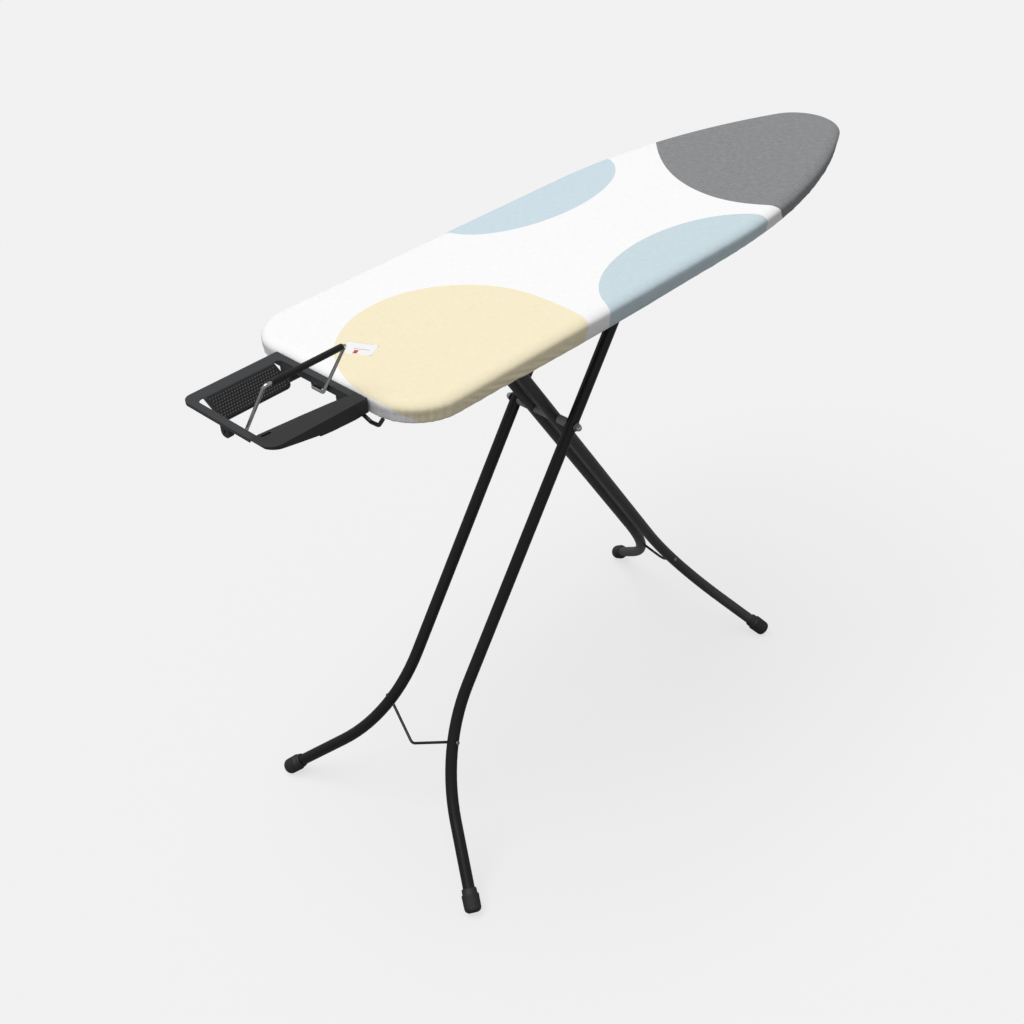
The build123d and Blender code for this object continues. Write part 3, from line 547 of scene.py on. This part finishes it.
# %% Flat place and pebbles
YELLOW_CENTRE, YELLOW_REACH = (178 * MM, -94 * MM), (178 * MM, 184 * MM)
YELLOW_REACH_BELOW, BELOW_POWER = (178 * MM, 200 * MM), 3.0
NEAR_BLUE_CENTRE, NEAR_BLUE_REACH = (604 * MM, -215 * MM), (208 * MM, 130 * MM)
FAR_BLUE_CENTRE, FAR_BLUE_REACH = (627 * MM, 192 * MM), (202 * MM, 110 * MM)
GREY_NEAREST, GREY_MIDDLE = 812 * MM, -72 * MM
GREY_WIDTH_NEAR, GREY_WIDTH_FAR = 300 * MM, 403 * MM


def flat_place():
    """Where each point lay before sewing: past the flat's edge, the cloth's run goes straight out.
    The last result is that run for each row, which is zero on the flat."""
    out = np.concatenate([np.zeros(TOP_ROWS), run])
    top_xy = cover_grid[:TOP_ROWS, :, :2]
    flat_edge = edge - facing * EDGE_WIDE
    skirt_xy = flat_edge[None] + facing[None] * run[:, None, None]
    flat = np.concatenate([top_xy, skirt_xy])
    return flat[..., 0] - SQUARE_END, flat[..., 1], out


def pebble(x, y, centre, reach, power=2.0):
    """Metres inside a round shape |dx/a|^p + |dy/b|^p = 1: positive inside, negative outside."""
    dx = np.abs(x - centre[0]) / reach[0]
    dy = np.abs(y - centre[1]) / reach[1]
    return (1 - (dx**power + dy**power) ** (1 / power)) * min(reach)


def nose_pebble(x, y):
    """Metres beyond the grey print's edge, two half parabolas:
    x = nearest + (y - y0)^2 / width, narrower on the near side."""
    width = np.where(y < GREY_MIDDLE, GREY_WIDTH_NEAR, GREY_WIDTH_FAR)
    return x - (GREY_NEAREST + (y - GREY_MIDDLE) ** 2 / width)


flat_x, flat_y, cloth_run = flat_place()
lower_half = flat_y < YELLOW_CENTRE[1]
upper_yellow = pebble(flat_x, flat_y, YELLOW_CENTRE, YELLOW_REACH)
lower_yellow = pebble(flat_x, flat_y, YELLOW_CENTRE, YELLOW_REACH_BELOW, BELOW_POWER)
near_blue_y = np.maximum(flat_y, NEAR_BLUE_CENTRE[1])
far_blue_y = np.minimum(flat_y, FAR_BLUE_CENTRE[1])
prints = {
    "yellow_print": np.where(lower_half, lower_yellow, upper_yellow),
    "near_blue_print": pebble(flat_x, near_blue_y, NEAR_BLUE_CENTRE, NEAR_BLUE_REACH),
    "far_blue_print": pebble(flat_x, far_blue_y, FAR_BLUE_CENTRE, FAR_BLUE_REACH),
    "grey_print": nose_pebble(flat_x, flat_y),
    "cloth_x": flat_x,
    "cloth_y": flat_y,
    "down_skirt": np.broadcast_to(cloth_run[:, None], flat_x.shape),
}
print("prints:", sorted(prints))

# %% Cover piece
cover = grid_mesh("printed_cover", cover_grid, ring=True, numbers=prints)
print("cover:", count_faces(cover), "triangles before it is thickened")

# %% [markdown]
# ## Letting the skirt settle
# Gathers drawn by formula are too even, so the cloth is given a short simulation. The top is held,
# the hem shrinks as its elastic would, and gravity pulls the skirt. A point may move less than a
# millimetre sideways and a little more up or down, which keeps the cloth off the steel rim.

# %% Settle the skirt
CLOTH_THICK = 0.7 * MM
SETTLE_FRAMES = 14
MOST_SIDEWAYS = 0.8 * MM
MOST_SAG = 2.5 * MM


def settle(piece, held, elastic):
    """Runs the cloth for a few frames and keeps start + shift, each shift cut to its two caps: one
    for the level part, so that the cloth never reaches the rim, and one for the height."""
    start = np.empty(len(piece.data.vertices) * 3, np.float32)
    piece.data.vertices.foreach_get("co", start)
    for name, weights in (("held", held), ("elastic", elastic)):
        group = piece.vertex_groups.new(name=name)
        for level_weight in np.unique(weights):
            members = np.nonzero(weights == level_weight)[0].tolist()
            group.add(members, float(level_weight), "REPLACE")
    cloth = piece.modifiers.new("cloth", "CLOTH")
    settings = cloth.settings
    settings.quality = 5
    settings.mass = 0.2
    settings.tension_stiffness = 12
    settings.compression_stiffness = 12
    settings.shear_stiffness = 4
    settings.bending_stiffness = 0.05
    settings.vertex_group_mass = "held"
    settings.pin_stiffness = 1.0
    settings.vertex_group_shrink = "elastic"
    settings.shrink_min = 0.0
    settings.shrink_max = 0.10
    cloth.collision_settings.use_collision = False
    scene = bpy.context.scene
    cloth.point_cache.frame_start = 1
    cloth.point_cache.frame_end = SETTLE_FRAMES
    for step in range(1, SETTLE_FRAMES + 1):
        scene.frame_set(step)
    view = bpy.context.evaluated_depsgraph_get()
    settled = np.empty_like(start)
    piece.evaluated_get(view).data.vertices.foreach_get("co", settled)
    piece.modifiers.clear()
    piece.vertex_groups.clear()
    scene.frame_set(1)
    shift = (settled - start).reshape(-1, 3)
    sideways = np.linalg.norm(shift[:, :2], axis=1, keepdims=True)
    shift[:, :2] *= np.minimum(1, MOST_SIDEWAYS / np.maximum(sideways, 1e-9))
    shift[:, 2] = np.clip(shift[:, 2], -MOST_SAG, MOST_SAG)
    size = np.linalg.norm(shift, axis=1)
    piece.data.vertices.foreach_set("co", (start.reshape(-1, 3) + shift).reshape(-1))
    piece.data.update()
    print("settled by", round(float(size.mean()) / MM, 2), "mm,", round(float(size.max()) / MM, 2), "at most")


def point_numbers(piece, key):
    """The stored number of each point."""
    values = np.empty(len(piece.data.vertices), np.float32)
    piece.data.attributes[key].data.foreach_get("value", values)
    return values


down_skirt = point_numbers(cover, "down_skirt")
free = smooth(18 * MM, 44 * MM, down_skirt)
hem_grip = smooth(46 * MM, 60 * MM, down_skirt)
settle(cover, held=np.round(1 - free, 1), elastic=np.round(hem_grip, 1))

solid = cover.modifiers.new("cloth_thickness", "SOLIDIFY")
solid.thickness = CLOTH_THICK
solid.offset = -1
apply_modifiers(cover)
print("cover:", count_faces(cover), "triangles")

# %% [markdown]
# ## Printed cotton finish
# Plain-weave cotton has about 25 threads to the centimetre. That is too fine to show from across
# a room, so the threads are drawn 1.2 mm apart, and the slubs, thicker lengths of thread, 2 mm wide
# and 14 mm long. The dye lies a little unevenly, and the edge of each colour is only as sharp as
# a thread. A scanned cloth could be laid on as an image, but numbers stored on the cloth stay crisp
# at any distance and follow it over the edge.

# %% Printed cotton
THREAD = 1.2 * MM
SLUB_LONG, SLUB_WIDE = 14 * MM, 2 * MM
DYE_EDGE = 0.5 * MM
DYES = {
    "yellow_print": ("#F8EECF", "#F1E4C0"),
    "near_blue_print": ("#CDDDE4", "#C1D3DB"),
    "far_blue_print": ("#CFDFE8", "#C4D6E0"),
    "grey_print": ("#929395", "#77787A"),
}


def printed_cotton():
    """White cotton, each dye laid over it where its number is above zero, then weave and slubs."""
    material, tree, shader = new_finish("printed_cotton", Roughness=0.88, Sheen_Weight=0.12)
    shader.inputs["Sheen Roughness"].default_value = 0.5
    across = add(tree, "ShaderNodeAttribute", attribute_name="cloth_x")
    lengthways = add(tree, "ShaderNodeAttribute", attribute_name="cloth_y")
    flat = add(tree, "ShaderNodeCombineXYZ", {"X": across.outputs["Fac"], "Y": lengthways.outputs["Fac"]})
    slubs = []
    for size_x, size_y in ((SLUB_LONG, SLUB_WIDE), (SLUB_WIDE, SLUB_LONG)):
        place = add(tree, "ShaderNodeMapping", {"Vector": flat.outputs["Vector"],
                                                "Scale": (1 / size_x, 1 / size_y, 1.0)})
        slubs.append(add(tree, "ShaderNodeTexNoise", {"Vector": place.outputs["Vector"], "Scale": 1.0,
                                                      "Detail": 3.0}))
    cloud = add(tree, "ShaderNodeMath", {i: slub.outputs["Fac"] for i, slub in enumerate(slubs)},
                operation="ADD")
    uneven = add(tree, "ShaderNodeMapRange", {"Value": cloud.outputs["Value"], "From Min": 0.7,
                                              "From Max": 1.3})
    white = add(tree, "ShaderNodeMix", data_type="RGBA", inputs={"Factor": uneven.outputs["Result"]})
    white.inputs["A"].default_value = linear("#FBFBFB")
    white.inputs["B"].default_value = linear("#F4F4F4")
    colour = white.outputs["Result"]
    for key, (dye, deeper) in DYES.items():
        inside = add(tree, "ShaderNodeAttribute", attribute_name=key)
        laid = add(tree, "ShaderNodeMapRange", {"Value": inside.outputs["Fac"], "From Min": -DYE_EDGE / 2,
                                                "From Max": DYE_EDGE / 2})
        shade = add(tree, "ShaderNodeMix", data_type="RGBA", inputs={"Factor": uneven.outputs["Result"]})
        shade.inputs["A"].default_value = linear(dye)
        shade.inputs["B"].default_value = linear(deeper)
        over = add(tree, "ShaderNodeMix", data_type="RGBA", inputs={"Factor": laid.outputs["Result"]})
        tree.links.new(colour, over.inputs["A"])
        tree.links.new(shade.outputs["Result"], over.inputs["B"])
        colour = over.outputs["Result"]
    tree.links.new(colour, shader.inputs["Base Color"])
    warp, weft = [
        add(tree, "ShaderNodeTexWave", {"Vector": flat.outputs["Vector"], "Scale": math.pi / (10 * THREAD)},
            bands_direction=direction)
        for direction in ("X", "Y")
    ]
    weave = add(tree, "ShaderNodeMath", {0: warp.outputs["Fac"], 1: weft.outputs["Fac"]}, operation="ADD")
    threads = add(tree, "ShaderNodeMath", {0: weave.outputs["Value"], 1: cloud.outputs["Value"]},
                  operation="ADD")
    bump = add(tree, "ShaderNodeBump", {"Height": threads.outputs["Value"], "Strength": 0.35,
                                        "Distance": 0.12 * MM})
    tree.links.new(bump.outputs["Normal"], shader.inputs["Normal"])
    finishes["printed_cotton"] = material
    return material


cover.data.materials.append(printed_cotton())
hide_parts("cover")
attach(cover, "board")
print("cotton thread:", THREAD / MM, "mm")

# %% [markdown]
# ## Area of an outline
# The flat cut of the cover is the outline plus the cloth that goes over the edge and under the hem. Its area
# would be the outline's area plus a strip along the edge and the corners' share; here only the shoelace
# formula is defined, and it measures the felt.

def shoelace(points):
    """Area of a closed outline: half the sum of x[i] * y[i + 1] - x[i + 1] * y[i]."""
    after = np.roll(points, -1, axis=0)
    return 0.5 * abs(float(np.sum(points[:, 0] * after[:, 1] - after[:, 0] * points[:, 1])))


# %% [markdown]
# ## Foam and felt
# The foam is cut to the board and its edge is squeezed round by the stretched cover. The felt under
# it is a flat sheet. Both could be bevelled plates, but a closed slab on the board's plan lets the
# edge be an ellipse: rows run from the middle line over the top, round the edge and back underneath.

# %% Slab on the board's plan
FOAM_INSET, FOAM_ROUND, UNDER_COVER = 4.2 * MM, 19 * MM, 0.9 * MM
FELT_INSET, FELT_ROUND, UNDER_FOAM = 4 * MM, 1.5 * MM, 0.1 * MM
SIDE_STEP, NOSE_STEP = 9 * MM, 6 * MM


def plan_slab(name, inset, bottom, top, round_over, dent):
    """Closed slab: top rows from the middle line out, an elliptical edge, and bottom rows back in.
    Its faces carry seeded dents, low waves of the given depth."""
    border, outward, _ = board_outline(inset, SIDE_STEP, SIDE_STEP, NOSE_STEP)
    spine_x = np.clip(border[:, 0], SQUARE_END + HALF, SQUARE_END + LENGTH - NOSE_RADIUS)
    spine = np.stack([spine_x, np.zeros(len(border))], 1)
    shrunk = border - outward * round_over
    share = np.linspace(0, 1, 16)[:, None, None]
    flat = spine + (shrunk - spine) * share
    waves = ripples(flat[..., 0], flat[..., 1], (0.05, 0.08, 0.13), dent)
    upper = np.full(flat.shape[:2], top) - np.abs(waves)
    lower = np.full(flat.shape[:2], bottom)
    angle = np.linspace(0, math.pi, 9)[1:-1, None]
    middle_z, half_z = (top + bottom) / 2, (top - bottom) / 2
    rim = shrunk[None] + outward[None] * (round_over * np.sin(angle))[..., None]
    rim_z = np.broadcast_to(middle_z + half_z * np.cos(angle), rim.shape[:2])
    xy = np.concatenate([flat, rim, flat[::-1]])
    z = np.concatenate([upper, rim_z, lower[::-1]])
    return grid_mesh(name, np.concatenate([xy, z[..., None]], -1), ring=True)


foam_low, foam_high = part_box("foam_pad")
foam = plan_slab("foam_padding", FOAM_INSET, foam_low.z, foam_high.z - UNDER_COVER, FOAM_ROUND,
                 0.05 * MM)
foam.data.materials.append(finishes["foam"])
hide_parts("foam_pad")
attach(foam, "board")

felt_low, felt_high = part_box("felt_underlay")
felt = plan_slab("felt_layer", FELT_INSET, felt_low.z, felt_high.z - UNDER_FOAM, FELT_ROUND, 0.03 * MM)
felt.data.materials.append(finishes["felt"])
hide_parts("felt_underlay")
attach(felt, "board")
felt_area = shoelace(board_outline(FELT_INSET, SIDE_STEP, SIDE_STEP, NOSE_STEP)[0])
print("foam", count_faces(foam), "and felt", count_faces(felt), "triangles")

# %% [markdown]
# ## Elastic in the hem
# A flat braided elastic runs round inside the hem and puckers with it. A curve with a bevel could
# carry it, but a flattened tube worked out along the board's plan takes the same gathers in its
# height as the cloth beside it.

# %% Tube along a path
BRAID_HALF_WIDE = 1.9 * MM
BRAID_HALF_HIGH = 1.1 * MM
PUCKER = 0.5 * MM


def tube_along(name, centre, outward, half_wide, half_high, sides):
    """Oval tube: centre + outward * a cos(t) + up * b sin(t), for each point of the path."""
    t = np.linspace(0, 2 * math.pi, sides, endpoint=False)[:, None]
    xy = centre[None, :, :2] + outward[None] * (half_wide * np.cos(t))[..., None]
    z = centre[None, :, 2] + half_high * np.sin(t)
    points = np.concatenate([xy, z[..., None]], -1)
    closed = np.concatenate([points, points[:1]])
    return grid_mesh(name, closed, ring=True)


elastic_low, elastic_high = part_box("hem_elastic")
elastic_inset = elastic_low.x - SQUARE_END + 2 * MM
path, path_out, path_run = board_outline(elastic_inset, 5 * MM, 6 * MM, 5 * MM)
pucker = np.interp(path_run, along / along[-1] * path_run[-1], gathers)
elastic_z = (elastic_low.z + elastic_high.z) / 2 + PUCKER * pucker
elastic = tube_along("hem_elastic_braid", np.column_stack([path, elastic_z]), path_out,
                     BRAID_HALF_WIDE, BRAID_HALF_HIGH, 10)
elastic.data.materials.append(finishes["elastic"])
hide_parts("hem_elastic")
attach(elastic, "board")
print("elastic:", round(float(path_run[-1]), 2), "m round,", count_faces(elastic), "triangles")

# %% [markdown]
# ## Care label
# A white satin label is stitched to the cover near the iron rest. It shows only a plain red bar and
# a grey rule here. It could be a plain card, but ribbon lifts a little at its free corners, so it is
# a small grid that lies on the cover and rises there.

# %% Label
LABEL_SIZE = (32 * MM, 49 * MM)
LABEL_TURN = math.radians(27)
LABEL_ABOVE = 0.4 * MM
CORNER_LIFT = 0.9 * MM
RIBBON_THICK = 0.25 * MM
label_low, label_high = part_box("care_label")
label_middle = ((label_low + label_high) / 2).xy


def label_surface():
    """Rows along the label, columns across it, turned on the cover. Corners lift with |u|^3 |v|^3."""
    u = np.linspace(-1, 1, 25)
    v = np.linspace(-1, 1, 37)
    across_share, along_share = np.meshgrid(u, v)
    x = across_share * LABEL_SIZE[0] / 2
    y = along_share * LABEL_SIZE[1] / 2
    cos, sin = math.cos(LABEL_TURN), math.sin(LABEL_TURN)
    lift = CORNER_LIFT * np.abs(across_share) ** 3 * np.abs(along_share) ** 3
    points = np.stack([
        label_middle[0] + x * cos - y * sin,
        label_middle[1] + x * sin + y * cos,
        TOP + LABEL_ABOVE + lift,
    ], -1)
    numbers = {"label_across": across_share, "label_along": along_share}
    return points, numbers


label_points, label_numbers = label_surface()
label = grid_mesh("care_label_ribbon", label_points, ring=False, numbers=label_numbers)
ribbon = label.modifiers.new("ribbon_thickness", "SOLIDIFY")
ribbon.thickness = RIBBON_THICK
ribbon.offset = -1
apply_modifiers(label)


def label_finish():
    """White satin, with a red bar and a grey rule as bands of the label's own place."""
    material, tree, shader = new_finish("label", Roughness=0.5, Sheen_Weight=0.3)
    u = add(tree, "ShaderNodeAttribute", attribute_name="label_across").outputs["Fac"]
    v = add(tree, "ShaderNodeAttribute", attribute_name="label_along").outputs["Fac"]
    colour = linear("#F6F6F4")
    for tone, centre_u, half_u, centre_v, half_v in (
        ("#C23A2C", -0.58, 0.30, 0.10, 0.13),
        ("#6F7073", -0.05, 0.03, -0.15, 0.50),
    ):
        within = {}
        for i, (place, centre, half) in enumerate(((u, centre_u, half_u), (v, centre_v, half_v))):
            off = add(tree, "ShaderNodeMath", {0: place, 1: centre}, operation="SUBTRACT")
            size = add(tree, "ShaderNodeMath", {0: off.outputs["Value"]}, operation="ABSOLUTE")
            inside = add(tree, "ShaderNodeMath", {0: size.outputs["Value"], 1: half}, operation="LESS_THAN")
            within[i] = inside.outputs["Value"]
        both = add(tree, "ShaderNodeMath", within, operation="MULTIPLY")
        mix = add(tree, "ShaderNodeMix", data_type="RGBA", inputs={"Factor": both.outputs["Value"]})
        if isinstance(colour, tuple):
            mix.inputs["A"].default_value = colour
        else:
            tree.links.new(colour, mix.inputs["A"])
        mix.inputs["B"].default_value = linear(tone)
        colour = mix.outputs["Result"]
    tree.links.new(colour, shader.inputs["Base Color"])
    finishes["label"] = material
    return material


label.data.materials.append(label_finish())
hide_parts("care_label")
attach(label, "board")
print("label:", count_faces(label), "triangles")

# %% [markdown]
# ## Ribbed rubber feet
# Each foot is a moulded cap with a collar, shallow ribs that grip the hand that pushes it on, and
# a rounded sole. Blocks joined by booleans could build it, but a turned profile gives all of that at
# once. The cap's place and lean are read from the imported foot: its axis is the direction in which
# its points spread the furthest.

# %% Turned feet
TUBE_R = 10.5 * MM
FOOT_R = 15 * MM
FOOT_LENGTH = 42 * MM
SOLE_ROUND = 9 * MM
COLLAR = 12 * MM
BORE_FLOOR = 8 * MM
FOOT_SIDES = 96
RIBS = 24
RIB_DEPTH = 0.7 * MM
RIB_BAND = (7 * MM, 30 * MM)
RIB_FADE = 3 * MM


def turned(name, base, axis, radii, heights):
    """Surface of revolution: base + axis * h + (side a cos(t) + side b sin(t)) * r. In the ribbed
    band r also loses depth * (0.5 + 0.5 cos(ribs t))^2."""
    helper = Vector((0, 0, 1)) if abs(axis.z) < 0.9 else Vector((1, 0, 0))
    side_a = axis.cross(helper).normalized()
    side_b = axis.cross(side_a)
    t = np.linspace(0, 2 * math.pi, FOOT_SIDES, endpoint=False)[None, :]
    r = np.array(radii)[:, None]
    h = np.array(heights)[:, None]
    first, last = RIB_BAND
    band = smooth(first, first + RIB_FADE, h) * (1 - smooth(last - RIB_FADE, last, h))
    r = r - RIB_DEPTH * band * (0.5 + 0.5 * np.cos(RIBS * t)) ** 2
    ring_a = np.array(side_a) * (r * np.cos(t))[..., None]
    ring_b = np.array(side_b) * (r * np.sin(t))[..., None]
    points = np.array(base) + np.array(axis) * h[..., None] + ring_a + ring_b
    return grid_mesh(name, points, ring=True)


def foot_profile(radius, bore, length, sole):
    """Radii and heights up the foot: round sole, slightly tapered barrel, collar, lip and bore."""
    quarter = np.linspace(0, math.pi / 2, 10)
    sole_r = radius - sole + sole * np.sin(quarter)
    sole_h = sole * (1 - np.cos(quarter))
    barrel = np.linspace(0, 1, 14)[1:]
    barrel_h = sole + (length - COLLAR - sole) * barrel
    barrel_r = radius + 0.4 * MM * barrel
    collar_h = length - COLLAR + np.array([1.0, 1.6, 2.4, 9.0, 11.0, 12.0]) * MM
    collar_r = radius + np.array([0.2, -0.9, -1.6, -1.8, -2.2, -3.2]) * MM
    inside_h = np.array([length, BORE_FLOOR, BORE_FLOOR])
    inside_r = np.array([bore, bore, 0.0])
    heights = np.concatenate([[0.0], sole_h, barrel_h, collar_h, inside_h])
    return np.concatenate([[0.0], sole_r, barrel_r, collar_r, inside_r]), heights


for pair in ("inner", "outer"):
    for side_name in ("left", "right"):
        node = f"{pair}_foot_{side_name}"
        flat_co = np.empty(len(frame["nodes"][node].data.vertices) * 3, np.float32)
        frame["nodes"][node].data.vertices.foreach_get("co", flat_co)
        corners = np.unique(np.round(flat_co.reshape(-1, 3), 6), axis=0).astype(float)
        spread = np.linalg.svd(corners - corners.mean(0), full_matrices=False)[2][0]
        axis = Vector(spread * np.sign(spread[2]))
        lengths = (corners - corners.mean(0)) @ np.array(axis)
        sole_end = Vector(corners.mean(0)) + axis * float(lengths.min())
        radii, heights = foot_profile(FOOT_R, TUBE_R + 0.1 * MM, FOOT_LENGTH, SOLE_ROUND)
        foot = turned(f"ribbed_{node}", sole_end, axis, radii, heights)
        foot.data.materials.append(finishes["foot_rubber"])
        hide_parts(node)
        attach(foot, f"{pair}_legs")
        print(foot.name, "lean", round(math.degrees(axis.angle(Vector((0, 0, 1)))), 1), "degrees")

# %% [markdown]
# ## Dotted silicone pad
# The sloping tongue of the iron rest carries a silicone pad with rows of small domes, so that a hot
# iron neither slips nor touches steel. Instanced spheres could make them, but domes belong to the
# pad, so they are real shape in it: a grid over the tongue whose height is a field of bumps.

# %% Silicone pad
DOT_PITCH = 4.6 * MM
DOT_HEIGHT = 0.8 * MM
DOT_RADIUS = 1.7 * MM
PLAIN_MARGIN = 3 * MM
PAD_CORNER = 9 * MM
CORNER_SQUEEZE = 0.72
PAD_THICK = 1.2 * MM
pad_low, pad_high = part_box("rest_grip_pad")


def dotted_pad():
    """Grid down the tongue: a flat plate with domes, height * max(0, 1 - (r / R)^2), at a staggered
    pitch, and with the rim rounded down. The plate slopes from its upper edge to its lower one."""
    length = pad_high.x - pad_low.x
    slope = np.array([0.0, pad_low.y - pad_high.y, pad_low.z - pad_high.z])
    run_down = float(np.linalg.norm(slope))
    slope = slope / run_down
    normal = np.cross(slope, [1.0, 0.0, 0.0])
    normal = normal * np.sign(normal[2])
    u = np.linspace(0, length, 201)
    v = np.linspace(1.0 * MM, run_down - 1.0 * MM, 75)
    across, down_slope = np.meshgrid(u, v)
    row = np.floor(down_slope / DOT_PITCH)
    cell_u = np.mod(across + (row % 2) * DOT_PITCH / 2, DOT_PITCH) - DOT_PITCH / 2
    cell_v = np.mod(down_slope, DOT_PITCH) - DOT_PITCH / 2
    domes = np.maximum(0, 1 - (cell_u**2 + cell_v**2) / DOT_RADIUS**2) * DOT_HEIGHT
    from_side = np.minimum(across, length - across)
    border = np.minimum(from_side, np.minimum(down_slope, run_down - down_slope))
    domes = domes * smooth(PLAIN_MARGIN, PLAIN_MARGIN + 1.5 * MM, border)
    corner_u = np.maximum(PAD_CORNER - from_side, 0)
    corner_v = np.maximum(down_slope - (run_down - 10 * MM), 0)
    over = np.maximum(np.hypot(corner_u, corner_v) - PAD_CORNER, 0) * (corner_u > 0) * (corner_v > 0)
    pull = np.sign(across - length / 2)
    across = across - pull * over * CORNER_SQUEEZE
    down_slope = down_slope - over * CORNER_SQUEEZE
    start = np.array([pad_low.x, pad_high.y, pad_high.z])
    flat = start + across[..., None] * [1.0, 0, 0] + down_slope[..., None] * slope
    return flat + domes[..., None] * normal


pad = grid_mesh("dotted_silicone_pad", dotted_pad(), ring=False)
thick = pad.modifiers.new("pad_thickness", "SOLIDIFY")
thick.thickness = PAD_THICK
thick.offset = -1
apply_modifiers(pad)
pad.data.materials.append(finishes["silicone"])
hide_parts("rest_grip_pad")
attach(pad, "board")
print("pad:", count_faces(pad), "triangles")

# %% [markdown]
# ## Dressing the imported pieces
# Tubes, rails, nuts and mouldings come packed at their real shape. They could be modelled again, but
# that would only lose accuracy, so each keeps its mesh and gets the finish that the record names.

# %% Assign finishes
for part in frame["record"]["subparts"]:
    packed = frame["nodes"][part["node"]]
    packed.data.materials.clear()
    packed.data.materials.append(finishes[part["material_slot"]])

# %% [markdown]
# ## Studio
# The floor is a glowing pale table, as in a light tent: part of its brightness is its own and part
# is the lamp's, so that shadows stay soft and faint. Three area lamps could do it too, but one broad
# lamp overhead, leaning to the square end, and a room that gives a little light from all round stay
# the same however far the camera walks.

# %% Floor and light
FLOOR_GLOW = 0.690
FLOOR_BOUNCE = 0.05
FLOOR_GREY = "#777777"
ROOM_LIGHT = 0.36
BACKDROP = 0.863
LAMP = 2.25
LAMP_SPREAD = math.radians(50)
LAMP_FROM = Vector((-0.20, 0.12, 1.0))
REACH = 40.0


def floor_finish():
    """Glow plus a plain matt reflection of the lamp. The glow is for the eye: as a light it is
    weak, so that the board's underside and its black tubes stay as dark as real ones do."""
    material = bpy.data.materials.new("studio_table")
    material.use_nodes = True
    tree = material.node_tree
    tree.nodes.clear()
    seen = add(tree, "ShaderNodeLightPath")
    level = add(tree, "ShaderNodeMapRange", {"Value": seen.outputs["Is Camera Ray"],
                                             "To Min": FLOOR_BOUNCE, "To Max": FLOOR_GLOW})
    glow = add(tree, "ShaderNodeEmission", {"Color": (1, 1, 1, 1), "Strength": level.outputs["Result"]})
    matt = add(tree, "ShaderNodeBsdfDiffuse", {"Color": linear(FLOOR_GREY)})
    both = add(tree, "ShaderNodeAddShader", {0: glow.outputs[0], 1: matt.outputs[0]})
    add(tree, "ShaderNodeOutputMaterial", {"Surface": both.outputs[0]})
    return material


floor_corners = [(-REACH, -REACH, 0), (REACH, -REACH, 0), (REACH, REACH, 0), (-REACH, REACH, 0)]
floor_mesh = bpy.data.meshes.new("studio_floor")
floor_mesh.from_pydata(floor_corners, [], [(0, 1, 2, 3)])
floor = bpy.data.objects.new("studio_floor", floor_mesh)
floor_mesh.materials.append(floor_finish())
bpy.context.scene.collection.objects.link(floor)

lamp_data = bpy.data.lights.new("overhead_lamp", "SUN")
lamp_data.energy = LAMP
lamp_data.angle = LAMP_SPREAD
lamp = bpy.data.objects.new("overhead_lamp", lamp_data)
lamp.rotation_euler = LAMP_FROM.to_track_quat("Z", "Y").to_euler()
bpy.context.scene.collection.objects.link(lamp)

world = bpy.data.worlds.new("studio_room")
bpy.context.scene.world = world
world.use_nodes = True
room = world.node_tree
backdrop = room.nodes["Background"]
backdrop.inputs["Color"].default_value = (1, 1, 1, 1)
seen = add(room, "ShaderNodeLightPath")
bright = add(room, "ShaderNodeMapRange", {"Value": seen.outputs["Is Camera Ray"],
                                          "To Min": ROOM_LIGHT, "To Max": BACKDROP})
room.links.new(bright.outputs["Result"], backdrop.inputs["Strength"])
bpy.context.scene.view_settings.view_transform = "Standard"
print("lamp:", LAMP, "room:", ROOM_LIGHT)
